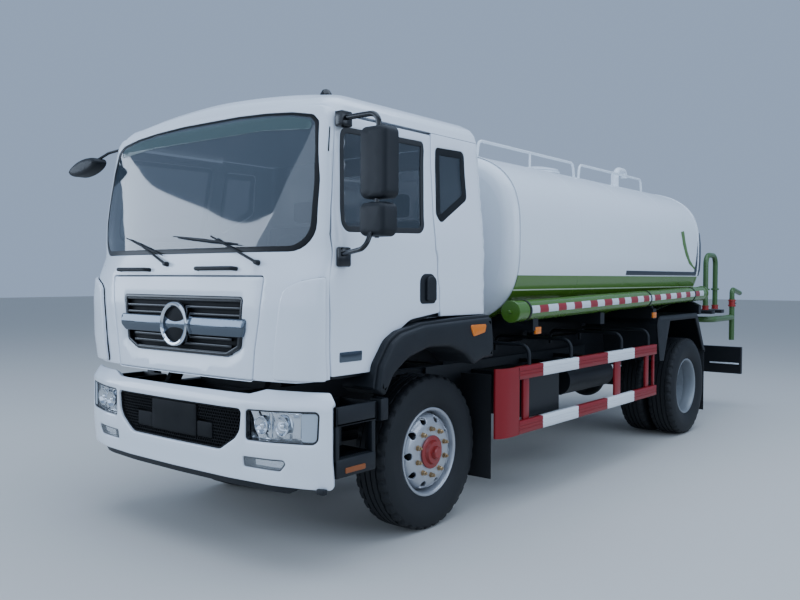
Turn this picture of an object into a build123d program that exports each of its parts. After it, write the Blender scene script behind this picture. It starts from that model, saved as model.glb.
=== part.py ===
from build123d import *
from math import cos, pi, radians, sin
import os

# Forward-control water tanker on two axles. X forward, Y left, Z up, in mm.
# Stations are measured from the front axle; save() shifts them so that X = 0 is mid-length.

# ---- driving dimensions ----
WHEELBASE = 4500.0
FRONT_OVERHANG = 1345.0
REAR_OVERHANG = 2425.0
BODY_HALF = 1250.0
SEAT = 0.3          # play between pieces that rest on each other
RUN = 8.0           # gap round doors and flaps

# frame
RAIL_HALF = 430.0
RAIL_TOP = 995.0
RAIL_HEIGHT = 250.0
RAIL_FLANGE = 75.0
RAIL_WALL = 8.0
RAIL_FRONT = 1130.0
RAIL_TAIL = 2010.0   # behind the rear axle

# wheels
TYRE_RADIUS = 525.0
TYRE_HALF = 142.0
BEAD_RADIUS = 286.0
RIM_HALF = 113.0
FLANGE_RADIUS = 300.0
FRONT_WHEEL_Y = 917.0
REAR_OUTER_Y = 1075.0
TWIN_SPACING = 320.0
KINGPIN_Y = 790.0
KINGPIN_RADIUS = 22.0
PIN_FIT = 0.05
HUB_PILOT = 140.0
STUD_CIRCLE = 167.5
DRUM_RADIUS = 205.0
SPINDLE = 120.0
SPINDLE_RADIUS = 45.0
DRUM_NEAR = 36.0
REAR_TUBE_RADIUS = 60.0
REAR_HUB_DEPTH = 100.0
REAR_SPINDLE = 180.0

# cab
CAB_WALL = 50.0
CAB_FRONT_WALL = 110.0
CAB_HALF = 1150.0
CAB_FRONT = 1290.0
CAB_REAR = -500.0
SEAM_Z = 2665.0
FLOOR_THICK = 40.0
SKIN = 20.0
TILT_X = 1150.0
TILT_Z = 720.0
TILT_PIN = 25.0
TILT_BRACKET = 25.0
TILT_Y_IN = RAIL_HALF + TILT_BRACKET + 15
TILT_Y_OUT = TILT_Y_IN + 60

# tank
TANK_FRONT = -880.0
TANK_REAR = -5035.0
TANK_HALF = 1160.0
TANK_RISE = 720.0
TANK_AXIS_Z = 2010.0
TANK_POWER = 3.1
HEAD_DEPTH = 110.0

# side tubes and guards
TUBE_RADIUS = 80.0
TUBE_Z = 1455.0        # its axis at the front end
TUBE_REAR_Z = 1535.0
TUBE_FRONT = -775.0
TUBE_Y = BODY_HALF - TUBE_RADIUS - 5
GUARD_FRONT = -490.0
GUARD_FLAT = -660.0    # the nose bends inwards ahead of this
GUARD_REAR = -3480.0
GUARD_TOP = 1050.0
GUARD_BOTTOM = 545.0
GUARD_BAR = 98.0
GUARD_THICK = 40.0
HOOP_RADIUS = 24.0
HOOP_Z = 1200.0
HOOP_BEND = 130.0
HOOP_X = (-986.0, -1675.0, -2678.0, -3313.0)
SADDLE_X = (-1110.0, -2300.0, -3512.0, -4855.0)

# towing eyes, behind the openings of the front bumper
TOW_X = 1215.0
TOW_Y = RAIL_HALF - 65
TOW_Z = RAIL_TOP - 215
TOW_BORE = 22.5

REAR_AXLE = -WHEELBASE
MID_X = (FRONT_OVERHANG - WHEELBASE - REAR_OVERHANG) / 2


def save(name, *solids):
    """Write one node, shifted from the front-axle stations to mid-length."""
    shifted = [item.moved(Location((-MID_X, 0, 0))) for item in solids]
    export_step(Compound(children=shifted) if len(shifted) > 1 else shifted[0], f"parts/{name}.step")


def box(x0, x1, y0, y1, z0, z1):
    """A block between two opposite corners."""
    block = Solid.make_box(abs(x1 - x0), abs(y1 - y0), abs(z1 - z0))
    return block.moved(Location((min(x0, x1), min(y0, y1), min(z0, z1))))


def rod(start, end, radius):
    """A round bar between two points."""
    a, b = Vector(*start), Vector(*end)
    return Solid.make_cylinder(radius, (b - a).length, Plane(origin=a, z_dir=(b - a).normalized()))


def plate_y(points, y0, y1):
    """A plate with an X-Z outline, between two Y places."""
    face = Plane.XZ * make_face(Polyline(*points, close=True))
    return extrude(face.moved(Location((0, y0, 0))), amount=y1 - y0, dir=(0, 1, 0))


def plate_x(points, x0, x1):
    """A plate with a Y-Z outline, between two X places."""
    face = Plane.YZ * make_face(Polyline(*points, close=True))
    return extrude(face.moved(Location((x0, 0, 0))), amount=x1 - x0, dir=(1, 0, 0))


def mirrored(shape):
    """The same shape on the other side of the vehicle."""
    return mirror(shape, about=Plane.XZ)


def both(*shapes):
    """Each shape and its mirror image, as one list."""
    return [one for shape in shapes for one in (shape, mirrored(shape))]


def fuse(first, *others):
    """One solid from several that touch or overlap."""
    result = first
    for other in others:
        result = result + other
    return result.clean()


def pipe(points, bends, radius):
    """A round pipe along straight runs and tangent bends."""
    path = FilletPolyline(*points, radius=bends)
    return sweep((path ^ 0) * Circle(radius), path=path)


def spun(profile, centre):
    """A body turned about a cross-vehicle axis; the profile is (across, radius)."""
    face = Plane.YZ * make_face(Polyline(*profile, close=True))
    return revolve(face, axis=Axis.Y).moved(Location(centre))


# ---- frame, axles and running gear ----
def frame_rails():
    x0, x1 = REAR_AXLE - RAIL_TAIL, RAIL_FRONT
    low = RAIL_TOP - RAIL_HEIGHT
    inner = RAIL_HALF - RAIL_FLANGE
    channel = [(RAIL_HALF, low), (RAIL_HALF, RAIL_TOP), (inner, RAIL_TOP), (inner, RAIL_TOP - RAIL_WALL),
               (RAIL_HALF - RAIL_WALL, RAIL_TOP - RAIL_WALL), (RAIL_HALF - RAIL_WALL, low + RAIL_WALL),
               (inner, low + RAIL_WALL), (inner, low)]
    rail = plate_x(channel, x0, x1)
    solid = fuse(rail, mirrored(rail))
    reach = RAIL_HALF - RAIL_WALL / 2
    for centre in (RAIL_FRONT - 60, -1150, -2300, -3400, REAR_AXLE - 800, x0 + 40):
        solid = solid + box(centre - 35, centre + 35, -reach, reach, RAIL_TOP - 120, RAIL_TOP - 30)
    pin = rod((TILT_X, -TILT_Y_OUT, TILT_Z), (TILT_X, TILT_Y_OUT, TILT_Z), TILT_PIN)
    nose = [(x1 - 180, RAIL_TOP - 10), (x1, RAIL_TOP - 10), (TILT_X + 45, TILT_Z + 40), (TILT_X + 45, TILT_Z - 40),
            (TILT_X - 45, TILT_Z - 40), (x1 - 180, low + 15)]
    bracket = plate_y(nose, RAIL_HALF - 1, RAIL_HALF + TILT_BRACKET)
    towing = box(x1 - 60, TOW_X + 45, TOW_Y - 45, RAIL_HALF - 1, TOW_Z - 12, TOW_Z + 12)
    towing = towing - rod((TOW_X, TOW_Y, TOW_Z - 20), (TOW_X, TOW_Y, TOW_Z + 20), TOW_BORE)
    return fuse(solid, pin, bracket, mirrored(bracket), towing, mirrored(towing))


def leaf_spring(centre_x, span, seat_z, eye_z, y):
    """A pack of four leaves under its rail, with hangers at both eyes."""
    solid = None
    for leaf, share in enumerate((1.0, 0.78, 0.56, 0.34)):
        half = span * share / 2
        drop = eye_z - seat_z
        height = 16.0
        z = seat_z - height * leaf
        lift = drop * share * share
        points = [(centre_x - half, z + lift), (centre_x - half / 2, z + lift / 4), (centre_x, z),
                  (centre_x + half / 2, z + lift / 4), (centre_x + half, z + lift)]
        thick = [(px, pz - height - 0.5) for px, pz in reversed(points)]
        one = plate_y(points + thick, y - 40, y + 40)
        solid = one if solid is None else solid + one
    for side in (-1, 1):
        x = centre_x + side * (span / 2 - 5)
        solid = solid + box(x - 28, x + 28, y - 38, y + 38, eye_z - 40, RAIL_TOP - RAIL_HEIGHT + 0.0)
    return solid.clean()


SPRING_Y = RAIL_HALF - 42
FRONT_SEAT_Z = 610.0
REAR_SEAT_Z = 650.0


def axle_parts():
    low = RAIL_TOP - RAIL_HEIGHT
    springs = both(leaf_spring(0, 1400, FRONT_SEAT_Z, 690, SPRING_Y),
                   leaf_spring(REAR_AXLE, 1400, REAR_SEAT_Z, 690, SPRING_Y))
    save("leaf_springs", *springs)
    pad = FRONT_SEAT_Z - 16 * 4 - 1
    outline = [(-KINGPIN_Y, 470), (-KINGPIN_Y, 580), (-620, 560), (-480, pad), (480, pad), (620, 560),
               (KINGPIN_Y, 580), (KINGPIN_Y, 470), (640, 440), (500, 430), (-500, 430), (-640, 440)]
    beam = plate_x(outline, -45, 45)
    for side in (-1, 1):
        y = side * KINGPIN_Y
        beam = beam + rod((0, y, 455), (0, y, 595), 52)
    for side in (-1, 1):
        y = side * KINGPIN_Y
        beam = beam - rod((0, y, 400), (0, y, 650), KINGPIN_RADIUS + PIN_FIT)
    save("front_axle", beam.clean())
    reach = REAR_OUTER_Y - TWIN_SPACING - REAR_HUB_DEPTH + REAR_SPINDLE
    casing = rod((REAR_AXLE, -reach, TYRE_RADIUS), (REAR_AXLE, reach, TYRE_RADIUS), REAR_TUBE_RADIUS)
    bowl = Solid.make_sphere(215).moved(Location((REAR_AXLE, 0, TYRE_RADIUS)))
    nose = Solid.make_cone(70, 150, 170, Plane(origin=(REAR_AXLE + 330, 0, TYRE_RADIUS), z_dir=(-1, 0, 0)))
    save("rear_axle", fuse(casing, bowl, nose))


def engine_parts():
    block = box(-420, 540, -300, 300, 560, 1270)
    web = RAIL_HALF - RAIL_WALL - SEAT
    feet = [box(x - 50, x + 50, side * 295, side * web, 800, 860) for x in (-250, 350) for side in (-1, 1)]
    gearbox = loft([Plane(origin=(-420, 0, 800), x_dir=(0, 1, 0), z_dir=(-1, 0, 0)) * Rectangle(460, 460),
                    Plane(origin=(-1020, 0, 760), x_dir=(0, 1, 0), z_dir=(-1, 0, 0)) * Rectangle(260, 260)])
    save("engine_block", fuse(block, gearbox, *feet))
    core = box(760, 850, -345, 345, 640, 1100)
    core = core + box(790, 820, -web, web, 850, 880)
    for row in range(6):
        z = 670 + row * 70
        core = core + box(850, 862, -340, 340, z, z + 20)
    save("radiator", core.clean())
    front, back = -1020 - SEAT, REAR_AXLE + 330 + SEAT
    shaft = rod((front - 20, 0, 760), (back + 20, 0, TYRE_RADIUS), 50)
    front_flange = rod((front, 0, 760), (front - 30, 0, 760), 85)
    back_flange = rod((back, 0, TYRE_RADIUS), (back + 30, 0, TYRE_RADIUS), 85)
    save("propshaft", fuse(shaft, front_flange, back_flange))


def service_parts():
    outer = 1150.0
    inner = RAIL_HALF + 20
    tank = extrude(Plane.XZ * RectangleRounded(1100, 560, 90), amount=outer - inner)
    box_face = tank.bounding_box()
    tank = tank.moved(Location((-1750, -inner if box_face.min.Y < -1 else -outer, 760)))
    straps = [box(x - 30, x + 30, -inner, -RAIL_HALF, 560, 960) for x in (-2050, -1450)]
    save("fuel_tank", fuse(tank, *straps))
    vessels = [rod((-2950, y, 800), (-2050, y, 800), 130) for y in (620, 900)]
    carrier = box(-2860, -2800, RAIL_HALF, 1030, 930 - SEAT, 960)
    carrier2 = box(-2200, -2140, RAIL_HALF, 1030, 930 - SEAT, 960)
    battery = box(-1650, -1100, 640, 1130, 620, 960)
    arm = box(-1420, -1340, RAIL_HALF, 640, 820, 930)
    save("battery_and_air_tanks", fuse(vessels[0], vessels[1], carrier, carrier2), fuse(battery, arm))
    silencer = rod((-2650, -700, 640 + 60), (-3300, -700, 700), 150)
    stub = pipe([(-3300 + 5, -700, 700), (-3480, -700, 700), (-3480, -1130, 700)], 90, 45)
    hanger = box(-3000, -2940, -700, -RAIL_HALF, 800, 900)
    save("exhaust", fuse(silencer, stub, hanger))


# ---- wheels ----
TREAD_HALF = 112.0


def tyre_solid(x, y):
    """One tyre with plain side walls, its beads seated on the rim."""
    bead = RIM_HALF - 10 - SEAT
    side = [(bead, BEAD_RADIUS + SEAT), (bead, FLANGE_RADIUS + SEAT), (TYRE_HALF, 395), (TYRE_HALF - 8, 470),
            (TREAD_HALF, TYRE_RADIUS)]
    profile = side + [(-across, radius) for across, radius in reversed(side)]
    return spun(profile, (x, y, TYRE_RADIUS))


HAND_HOLES = 10
HAND_HOLE = 26.0
HAND_CIRCLE = 222.0
NUTS = 10
NUT_RADIUS = 14.0
RIM_BORE = 270.0
FLANGE = 10.0
DISC = 14.0


def wheel_solid(x, y, facing, disc):
    """Rim and dished disc with hand holes; facing is +1 or -1 for the side that the disc bulges to."""
    rim = [(-RIM_HALF, RIM_BORE), (-RIM_HALF, FLANGE_RADIUS), (FLANGE - RIM_HALF, FLANGE_RADIUS),
           (FLANGE - RIM_HALF, BEAD_RADIUS), (RIM_HALF - FLANGE, BEAD_RADIUS), (RIM_HALF - FLANGE, FLANGE_RADIUS),
           (RIM_HALF, FLANGE_RADIUS), (RIM_HALF, RIM_BORE)]
    d = disc * facing
    t = DISC * facing
    dish = [(0, RIM_BORE + 5), (d * 0.75, DRUM_RADIUS + 30), (d, DRUM_RADIUS), (d, HUB_PILOT - 20),
            (d - t, HUB_PILOT - 20), (d - t, DRUM_RADIUS - 5), (d * 0.75 - t, DRUM_RADIUS + 20), (-t, RIM_BORE - 8),
            (-t, RIM_BORE + 5)]
    centre = (x, y, TYRE_RADIUS)
    body = spun(rim, centre) + spun(dish, centre)
    for hole in range(HAND_HOLES):
        turn = 2 * pi * (hole + 0.5) / HAND_HOLES
        cx, cz = x + HAND_CIRCLE * sin(turn), TYRE_RADIUS + HAND_CIRCLE * cos(turn)
        body = body - rod((cx, y - 40, cz), (cx, y + d + facing * 40, cz), HAND_HOLE)
    return body


FRONT_DISC = 122.0
FRONT_CAP = 70.0
REAR_CAP = 110.0


def wheel_corner(name, x, side, twin):
    """Tyre or twin tyres, wheels, drum, hub and nuts of one corner, with the bore for its spindle."""
    outer_y = (REAR_OUTER_Y if twin else FRONT_WHEEL_Y) * side
    tyres = [tyre_solid(x, outer_y)]
    if twin:
        disc = TWIN_SPACING / 2
        inner_y = outer_y - TWIN_SPACING * side
        tyres.append(tyre_solid(x, inner_y))
        body = wheel_solid(x, outer_y, -side, disc) + wheel_solid(x, inner_y, side, disc)
        face = outer_y - side * disc
        near = inner_y - side * REAR_HUB_DEPTH
        cap = face + side * REAR_CAP
        bore, depth = REAR_TUBE_RADIUS + PIN_FIT, REAR_SPINDLE + RUN
    else:
        body = wheel_solid(x, outer_y, side, FRONT_DISC)
        face = outer_y + side * FRONT_DISC
        near = outer_y - side * DRUM_NEAR
        cap = face + side * FRONT_CAP
        bore, depth = SPINDLE_RADIUS + PIN_FIT, SPINDLE

    def turned(start, end, radius):
        return rod((x, start, TYRE_RADIUS), (x, end, TYRE_RADIUS), radius)

    hub = turned(near, face, HUB_PILOT + 10)
    drum = turned(near, near + side * 130, DRUM_RADIUS)
    nose = turned(face - side * 5, cap, HUB_PILOT - 45)
    flange = turned(face - side * 5, face + side * 18, HUB_PILOT + 5)
    body = fuse(body, hub, drum, nose, flange)
    for nut in range(NUTS):
        turn = 2 * pi * nut / NUTS
        cx, cz = x + STUD_CIRCLE * sin(turn), TYRE_RADIUS + STUD_CIRCLE * cos(turn)
        body = body + rod((cx, face - side * 5, cz), (cx, face + side * 38, cz), NUT_RADIUS)
    body = body - turned(near - side * 10, near + side * depth, bore)
    save(f"tyre_{name}", *tyres)
    save(f"wheel_{name}", body.clean())


def knuckle(side):
    """Fork round the axle's eye, kingpin, spindle and steering arm."""
    y = KINGPIN_Y * side
    near = (FRONT_WHEEL_Y - DRUM_NEAR) * side
    fork = rod((0, y, 595 + 5), (0, y, 640), 50) + rod((0, y, 410), (0, y, 455 - 5), 50)
    pin = rod((0, y, 410), (0, y, 640), KINGPIN_RADIUS)
    back = box(-50, 50, y + side * 58, near - side * 12, 410, 640)
    lugs = box(-50, 50, y, y + side * 60, 600, 640) + box(-50, 50, y, y + side * 60, 410, 450)
    spindle = rod((0, y + side * 55, TYRE_RADIUS), (0, near + side * (SPINDLE - RUN), TYRE_RADIUS), SPINDLE_RADIUS)
    body = fuse(fork, pin, back, lugs, spindle)
    return body


# ---- cab ----
# columns: height, half-width, front at the middle, rear, corner radius, bow of the front
CAB_SECTIONS = (
    (1060, 1140, 1286, CAB_REAR, 150, 60),
    (1550, CAB_HALF, CAB_FRONT, CAB_REAR, 150, 60),
    (1850, CAB_HALF, 1268, CAB_REAR, 140, 52),
    (1960, 1148, 1242, CAB_REAR, 130, 48),
    (2620, 1082, 1075, CAB_REAR, 95, 34),
    (SEAM_Z, 1075, 1062, CAB_REAR, 95, 34),
    (2760, 1030, 1000, CAB_REAR + 10, 110, 34),
    (2815, 900, 900, CAB_REAR + 50, 160, 30),
    (2843, 640, 700, CAB_REAR + 170, 200, 20),
)


def cab_outline(section, inset, front_inset, rear_inset):
    """One plan section of the cab: a bowed front, round corners and straight sides."""
    z, half, front, rear, corner, bow = section
    half, front, rear = half - inset, front - front_inset, rear + rear_inset
    knee_y = half - corner
    knee_x = front - bow
    side_x = knee_x - corner * 0.9
    cut = corner * 0.29
    with BuildSketch(Plane.XY.offset(z)) as sketch:
        with BuildLine():
            ThreePointArc((knee_x, -knee_y), (front, 0), (knee_x, knee_y))
            ThreePointArc((knee_x, knee_y), (knee_x - cut * 0.9, half - cut), (side_x, half))
            Line((side_x, half), (rear, half))
            Line((rear, half), (rear, -half))
            Line((rear, -half), (side_x, -half))
            ThreePointArc((side_x, -half), (knee_x - cut * 0.9, -half + cut), (knee_x, -knee_y))
        make_face()
    return sketch.sketch


def front_x(z, y):
    """Where the cab's front skin is at a height and an offset from the middle."""
    for low, high in zip(CAB_SECTIONS, CAB_SECTIONS[1:]):
        if low[0] <= z <= high[0]:
            share = (z - low[0]) / (high[0] - low[0])
            half, front, corner, bow = (low[k] + (high[k] - low[k]) * share for k in (1, 2, 4, 5))
            return front - bow * (y / (half - corner)) ** 2
    raise ValueError(z)


def cab_body(low, high, inset=0.0, front_inset=0.0, rear_inset=0.0):
    """Straight-ruled body between two of the cab's heights."""
    sections = [s for s in CAB_SECTIONS if low <= s[0] <= high]
    return loft([cab_outline(s, inset, front_inset, rear_inset) for s in sections], ruled=True)


ARCH = [(760, 1150), (690, 1185), (564, 1300), (375, 1405), (129, 1444), (CAB_REAR - 60, 1444)]
DOOR_LOW = 1140.0
FRONT_LOW = 1105.0


def above(lift):
    """Everything over the cab's underside, raised by some thickness."""
    line = [(1400, FRONT_LOW + lift), (1130, FRONT_LOW + lift), (1080, DOOR_LOW - 20 + lift),
            (760, DOOR_LOW - 20 + lift)] + [(x, z + lift) for x, z in ARCH[1:]]
    outline = line + [(CAB_REAR - 60, 3000), (1400, 3000)]
    return plate_y(outline, -1400, 1400)


DOOR_FRONT = 1092.0
HINGE_PIN = 3.0
HINGE_LUG = 6.0
DOOR_HINGE = (DOOR_FRONT - 4, CAB_HALF + HINGE_LUG + SEAT)
DOOR_HINGE_Z = (1290.0, 1760.0)
HINGE_HEIGHT = 34.0
DOOR_REAR = 62.0
DOOR_TOP = 2645.0
DOOR_OUTLINE = [(DOOR_FRONT, DOOR_LOW), (DOOR_FRONT, 1950), (1004, DOOR_TOP), (DOOR_REAR + 18, DOOR_TOP),
                (DOOR_REAR + 55, 2050), (DOOR_REAR + 50, 1900), (DOOR_REAR, 1600), (DOOR_REAR - 5, 1475),
                (375, 1437), (580, 1325), (715, DOOR_LOW + 30), (760, DOOR_LOW)]
DOOR_WINDOW = [(1022, 1975), (962, 2592), (165, 2592), (165, 2535), (232, 1995)]
QUARTER_WINDOW = [(35, 2578), (-300, 2585), (-296, 2247), (30, 2062), (85, 2120)]
WINDOW_CORNER = 25.0


def inset_plate(points, gap, y0, y1, corner=0.0):
    """A plate with its X-Z outline drawn in (or out, if negative) by a gap, and its corners rounded."""
    face = make_face(Polyline(*points, close=True))
    if gap:
        face = offset(face, -gap, kind=Kind.INTERSECTION)
    if corner:
        face = fillet(face.vertices(), corner - gap)
    face = Plane.XZ * face
    return extrude(face.moved(Location((0, y0, 0))), amount=y1 - y0, dir=(0, 1, 0))


FLAP_TOP = 1720.0
FLAP = [(-762, FLAP_TOP), (762, FLAP_TOP), (672, FRONT_LOW - 40), (-672, FRONT_LOW - 40)]
FLAP_THICK = 45.0
GRILLE_TOP = 1590.0
GRILLE_STEP = 1285.0
GRILLE_BOTTOM = 1232.0
GRILLE = [(-600, GRILLE_TOP), (600, GRILLE_TOP), (562, GRILLE_STEP), (445, GRILLE_BOTTOM), (-445, GRILLE_BOTTOM),
          (-562, GRILLE_STEP)]
GRILLE_BAR = [(-655, 1466), (655, 1466), (640, 1372), (600, 1350), (-600, 1350), (-640, 1372)]
BAR_LIFT = 14.0
RING_Z = 1411.0
RING_RADIUS = 145.0
SCREEN = [(-1098, 2010), (-1040, 1890), (-930, 1856), (930, 1856), (1040, 1890), (1098, 2010), (1003, 2625),
          (955, 2672), (650, 2700), (-650, 2700), (-955, 2672), (-1003, 2625)]
SCREEN_CORNER = 30.0
REAR_WINDOW = [(-560, 2150), (560, 2150), (560, 2520), (-560, 2520)]
FLAP_TOP_GAP = 14.0
FLAP_HINGE_Y = 480.0
GLASS_PLAY = 0.5


def inset_wall(points, gap, x0, x1, corner=0.0):
    """A plate with its Y-Z outline drawn in by a gap, and its corners rounded."""
    face = make_face(Polyline(*points, close=True))
    if gap:
        face = offset(face, -gap, kind=Kind.INTERSECTION)
    if corner:
        face = fillet(face.vertices(), corner - gap)
    face = Plane.YZ * face
    return extrude(face.moved(Location((x0, 0, 0))), amount=x1 - x0, dir=(1, 0, 0))


FLAP_HINGE = (front_x(FLAP_TOP, FLAP_HINGE_Y), FLAP_TOP + 6)


def flap_hinges():
    """Two hinges at the top of the front flap: notch and pin for the cab, lug for the flap."""
    x, z = FLAP_HINGE
    notches, pins, lugs = [], [], []
    for side in (-1, 1):
        y = side * FLAP_HINGE_Y
        notches.append(box(x - 14, 1400, y - 20, y + 20, FLAP_TOP - 1, z + 14))
        pins.append(rod((x, y - 22, z), (x, y + 22, z), HINGE_PIN))
        lug = rod((x, y - 17, z), (x, y + 17, z), HINGE_LUG) + box(x - 9, x + 4, y - 17, y + 17, FLAP_TOP - 25, z)
        lugs.append(lug - rod((x, y - 30, z), (x, y + 30, z), HINGE_PIN + PIN_FIT))
    return notches, pins, lugs


def door_hinges():
    """Two hinges at the front of the left door: ears and pins for the cab, lugs for the door."""
    x, y = DOOR_HINGE
    ears, lugs = [], []
    for z in DOOR_HINGE_Z:
        pin = rod((x, y, z - 12), (x, y, z + HINGE_HEIGHT + 12), HINGE_PIN)
        for low in (z - 14, z + HINGE_HEIGHT + 2):
            pin = pin + rod((x, y, low), (x, y, low + 12), HINGE_LUG) + box(x + 2, x + 20, CAB_HALF - 20, y + 3, low, low + 12)
        ears.append(pin)
        lug = rod((x, y, z), (x, y, z + HINGE_HEIGHT), HINGE_LUG) + box(x - 22, x - 2, CAB_HALF - 18, y + 3, z, z + HINGE_HEIGHT)
        lugs.append(lug - rod((x, y, z - 5), (x, y, z + HINGE_HEIGHT + 5), HINGE_PIN + PIN_FIT))
    return ears, lugs


def tilt_arms():
    """Two cranked arms from the cab floor to the tilt pin, with the bore for it."""
    crank = [(TILT_X + 35, TILT_Z + 20), (TILT_X + 30, TILT_Z - 35), (TILT_X - 35, TILT_Z - 35), (820, DOOR_LOW),
             (925, DOOR_LOW)]
    arms = []
    for side in (-1, 1):
        near, far = sorted((side * (TILT_Y_IN + 8), side * (TILT_Y_OUT - 8)))
        arm = plate_y(crank, near, far) + rod((TILT_X, near, TILT_Z), (TILT_X, far, TILT_Z), TILT_PIN + 22)
        arms.append(arm - rod((TILT_X, near - 20, TILT_Z), (TILT_X, far + 20, TILT_Z), TILT_PIN + PIN_FIT))
    return arms


def cab_parts():
    """Floor, front, sides, back, roof, glass, doors and front flap, cut from one skin. Returns the room inside."""
    outer = cab_body(1060, SEAM_Z)
    inner = cab_body(1060, SEAM_Z, CAB_WALL, CAB_FRONT_WALL, CAB_WALL)
    skin_core = cab_body(1060, SEAM_Z, SKIN, SKIN, SKIN)
    deep = cab_body(1060, SEAM_Z, 0, FLAP_THICK + RUN, 0)
    floor = fuse((inner & above(0)) - above(FLOOR_THICK), *tilt_arms())
    save("cab_floor", floor)
    walls = (outer & above(0)) - inner
    for side in (-1, 1):
        walls = walls - plate_y(DOOR_OUTLINE, 900 * side, 1300 * side)
        walls = walls - inset_plate(QUARTER_WINDOW, 0, 900 * side, 1300 * side, WINDOW_CORNER)
    walls = walls - ((outer - deep) & plate_x(FLAP, 1000, 1400))
    walls = walls - inset_wall(SCREEN, 0, 900, 1400, SCREEN_CORNER)
    walls = walls - plate_x(REAR_WINDOW, CAB_REAR - 20, CAB_REAR + CAB_WALL + 20)
    ahead = plate_y([(DOOR_FRONT - 1, 1000), (DOOR_FRONT - 1, 1950), (1003, DOOR_TOP), (1003, 2700), (1500, 2700),
                     (1500, 1000)], -1200, 1200)
    behind = box(CAB_REAR - 50, CAB_REAR + CAB_WALL, -1200, 1200, 1000, 2700)
    front, back = walls & ahead, walls & behind
    sides = walls - ahead - behind
    notches, pins, flap_lugs = flap_hinges()
    ears, door_lugs = door_hinges()
    for notch, pin in zip(notches, pins):
        front = front - notch + pin
    for ear in ears:
        front = front + ear + mirrored(ear)
    save("cab_front", front.clean())
    save("cab_back", back.clean())
    save("cab_sides", *sides.solids())

    roof = cab_body(SEAM_Z, 2900) - cab_body(SEAM_Z, 2800, CAB_WALL, CAB_WALL, CAB_WALL)
    roof = roof.moved(Location((0, 0, SEAT))) - inset_wall(SCREEN, 0, 900, 1400, SCREEN_CORNER)
    save("cab_roof", roof.clean())

    glass_skin = cab_body(1060, 2760, 12, 12, 12) - cab_body(1060, 2760, 18, 18, 18)
    screen = glass_skin & inset_wall(SCREEN, GLASS_PLAY, 950, 1400, SCREEN_CORNER)
    quarter = glass_skin & inset_plate(QUARTER_WINDOW, GLASS_PLAY, 900, 1300, WINDOW_CORNER)
    rear_pane = glass_skin & inset_wall(REAR_WINDOW, GLASS_PLAY, CAB_REAR, CAB_REAR + 40)
    save("cab_glass", screen, quarter, mirrored(quarter), rear_pane)

    door_outer = (outer - skin_core) & inset_plate(DOOR_OUTLINE, RUN, 900, 1300)
    door_inner = (skin_core - inner) & inset_plate(DOOR_OUTLINE, RUN + 20, 900, 1300)
    door = fuse(door_outer, door_inner) - inset_plate(DOOR_WINDOW, 0, 900, 1300, WINDOW_CORNER)
    handle = box(115, 272, CAB_HALF - 10, CAB_HALF + 22, 1545, 1722)
    door = fuse(door, handle, *door_lugs)
    pane = inset_plate(DOOR_WINDOW, GLASS_PLAY, 900, 1300, WINDOW_CORNER)
    mirror_left = mirror_solid() - cab_body(1060, SEAM_Z, -SEAT, -SEAT, -SEAT)
    for name, flip in (("left", lambda s: s), ("right", mirrored)):
        save(f"door_panel_{name}", flip(door))
        save(f"door_glass_{name}", glass_skin & flip(pane))
        save(f"mirror_{name}", flip(mirror_left))

    flap_body = (outer - cab_body(1060, SEAM_Z, 0, FLAP_THICK, 0)) & above(0)
    inner_flap = [(y * (1 - RUN / 760), z - (FLAP_TOP_GAP if z > 1500 else 0)) for y, z in FLAP]
    flap = flap_body & plate_x(inner_flap, 1000, 1400)
    flap = fuse(flap - plate_x(GRILLE, 1000, 1400), *flap_lugs)
    save("front_panel", flap)
    save("front_grille", grille_solid(flap_body))
    return inner & above(FLOOR_THICK)


def grille_solid(flap_body):
    """Slatted grille with a cross bar and a plain ring, seated in the flap's opening."""
    solid = flap_body & (inset_wall(GRILLE, GLASS_PLAY, 1000, 1400) - inset_wall(GRILLE, 30, 1000, 1400))
    opening = inset_wall(GRILLE, 10, 1000, 1400)
    slats = 8
    pitch = (GRILLE_TOP - GRILLE_BOTTOM) / slats
    for row in range(slats):
        z = GRILLE_BOTTOM + pitch * (row + 0.5)
        solid = solid + (flap_body & opening & box(1000, 1400, -GRILLE[1][0], GRILLE[1][0], z - 7, z + 7))
    front = cab_body(1060, 1850, -BAR_LIFT, -BAR_LIFT, 0) - cab_body(1060, 1850, -SEAT, -SEAT, 0)
    proud = front & plate_x(GRILLE_BAR, 1000, 1400)
    core = (cab_body(1060, 1850, -BAR_LIFT, -BAR_LIFT, 0) - cab_body(1060, 1850, 0, FLAP_THICK, 0)) & opening
    core = core & plate_x(GRILLE_BAR, 1000, 1400)
    ring = rod((CAB_FRONT - FLAP_THICK, 0, RING_Z), (CAB_FRONT + BAR_LIFT + 8, 0, RING_Z), RING_RADIUS)
    ring = ring - rod((CAB_FRONT, 0, RING_Z), (CAB_FRONT + 60, 0, RING_Z), RING_RADIUS - 28)
    return fuse(solid, core, proud, ring)


def mirror_solid():
    """Upper and lower mirror heads on a tubular arm, on the left door."""
    bracket = [box(930, 990, 1080, 1120, 2500, 2560), box(1010, 1060, CAB_HALF - 5, 1190, 1835, 1880)]
    arm = pipe([(960, 1105, 2530), (1100, 1400, 2535), (1050, 1400, 2110), (1110, 1400, 1880),
                (1035, 1170, 1858)], [60, 60, 60], 16)
    head = box(930, 1044, 1290, 1500, 2113, 2449)
    low = box(940, 1060, 1300, 1500, 1929, 2085)
    return fuse(arm, bracket[0], bracket[1], head, low)


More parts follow.
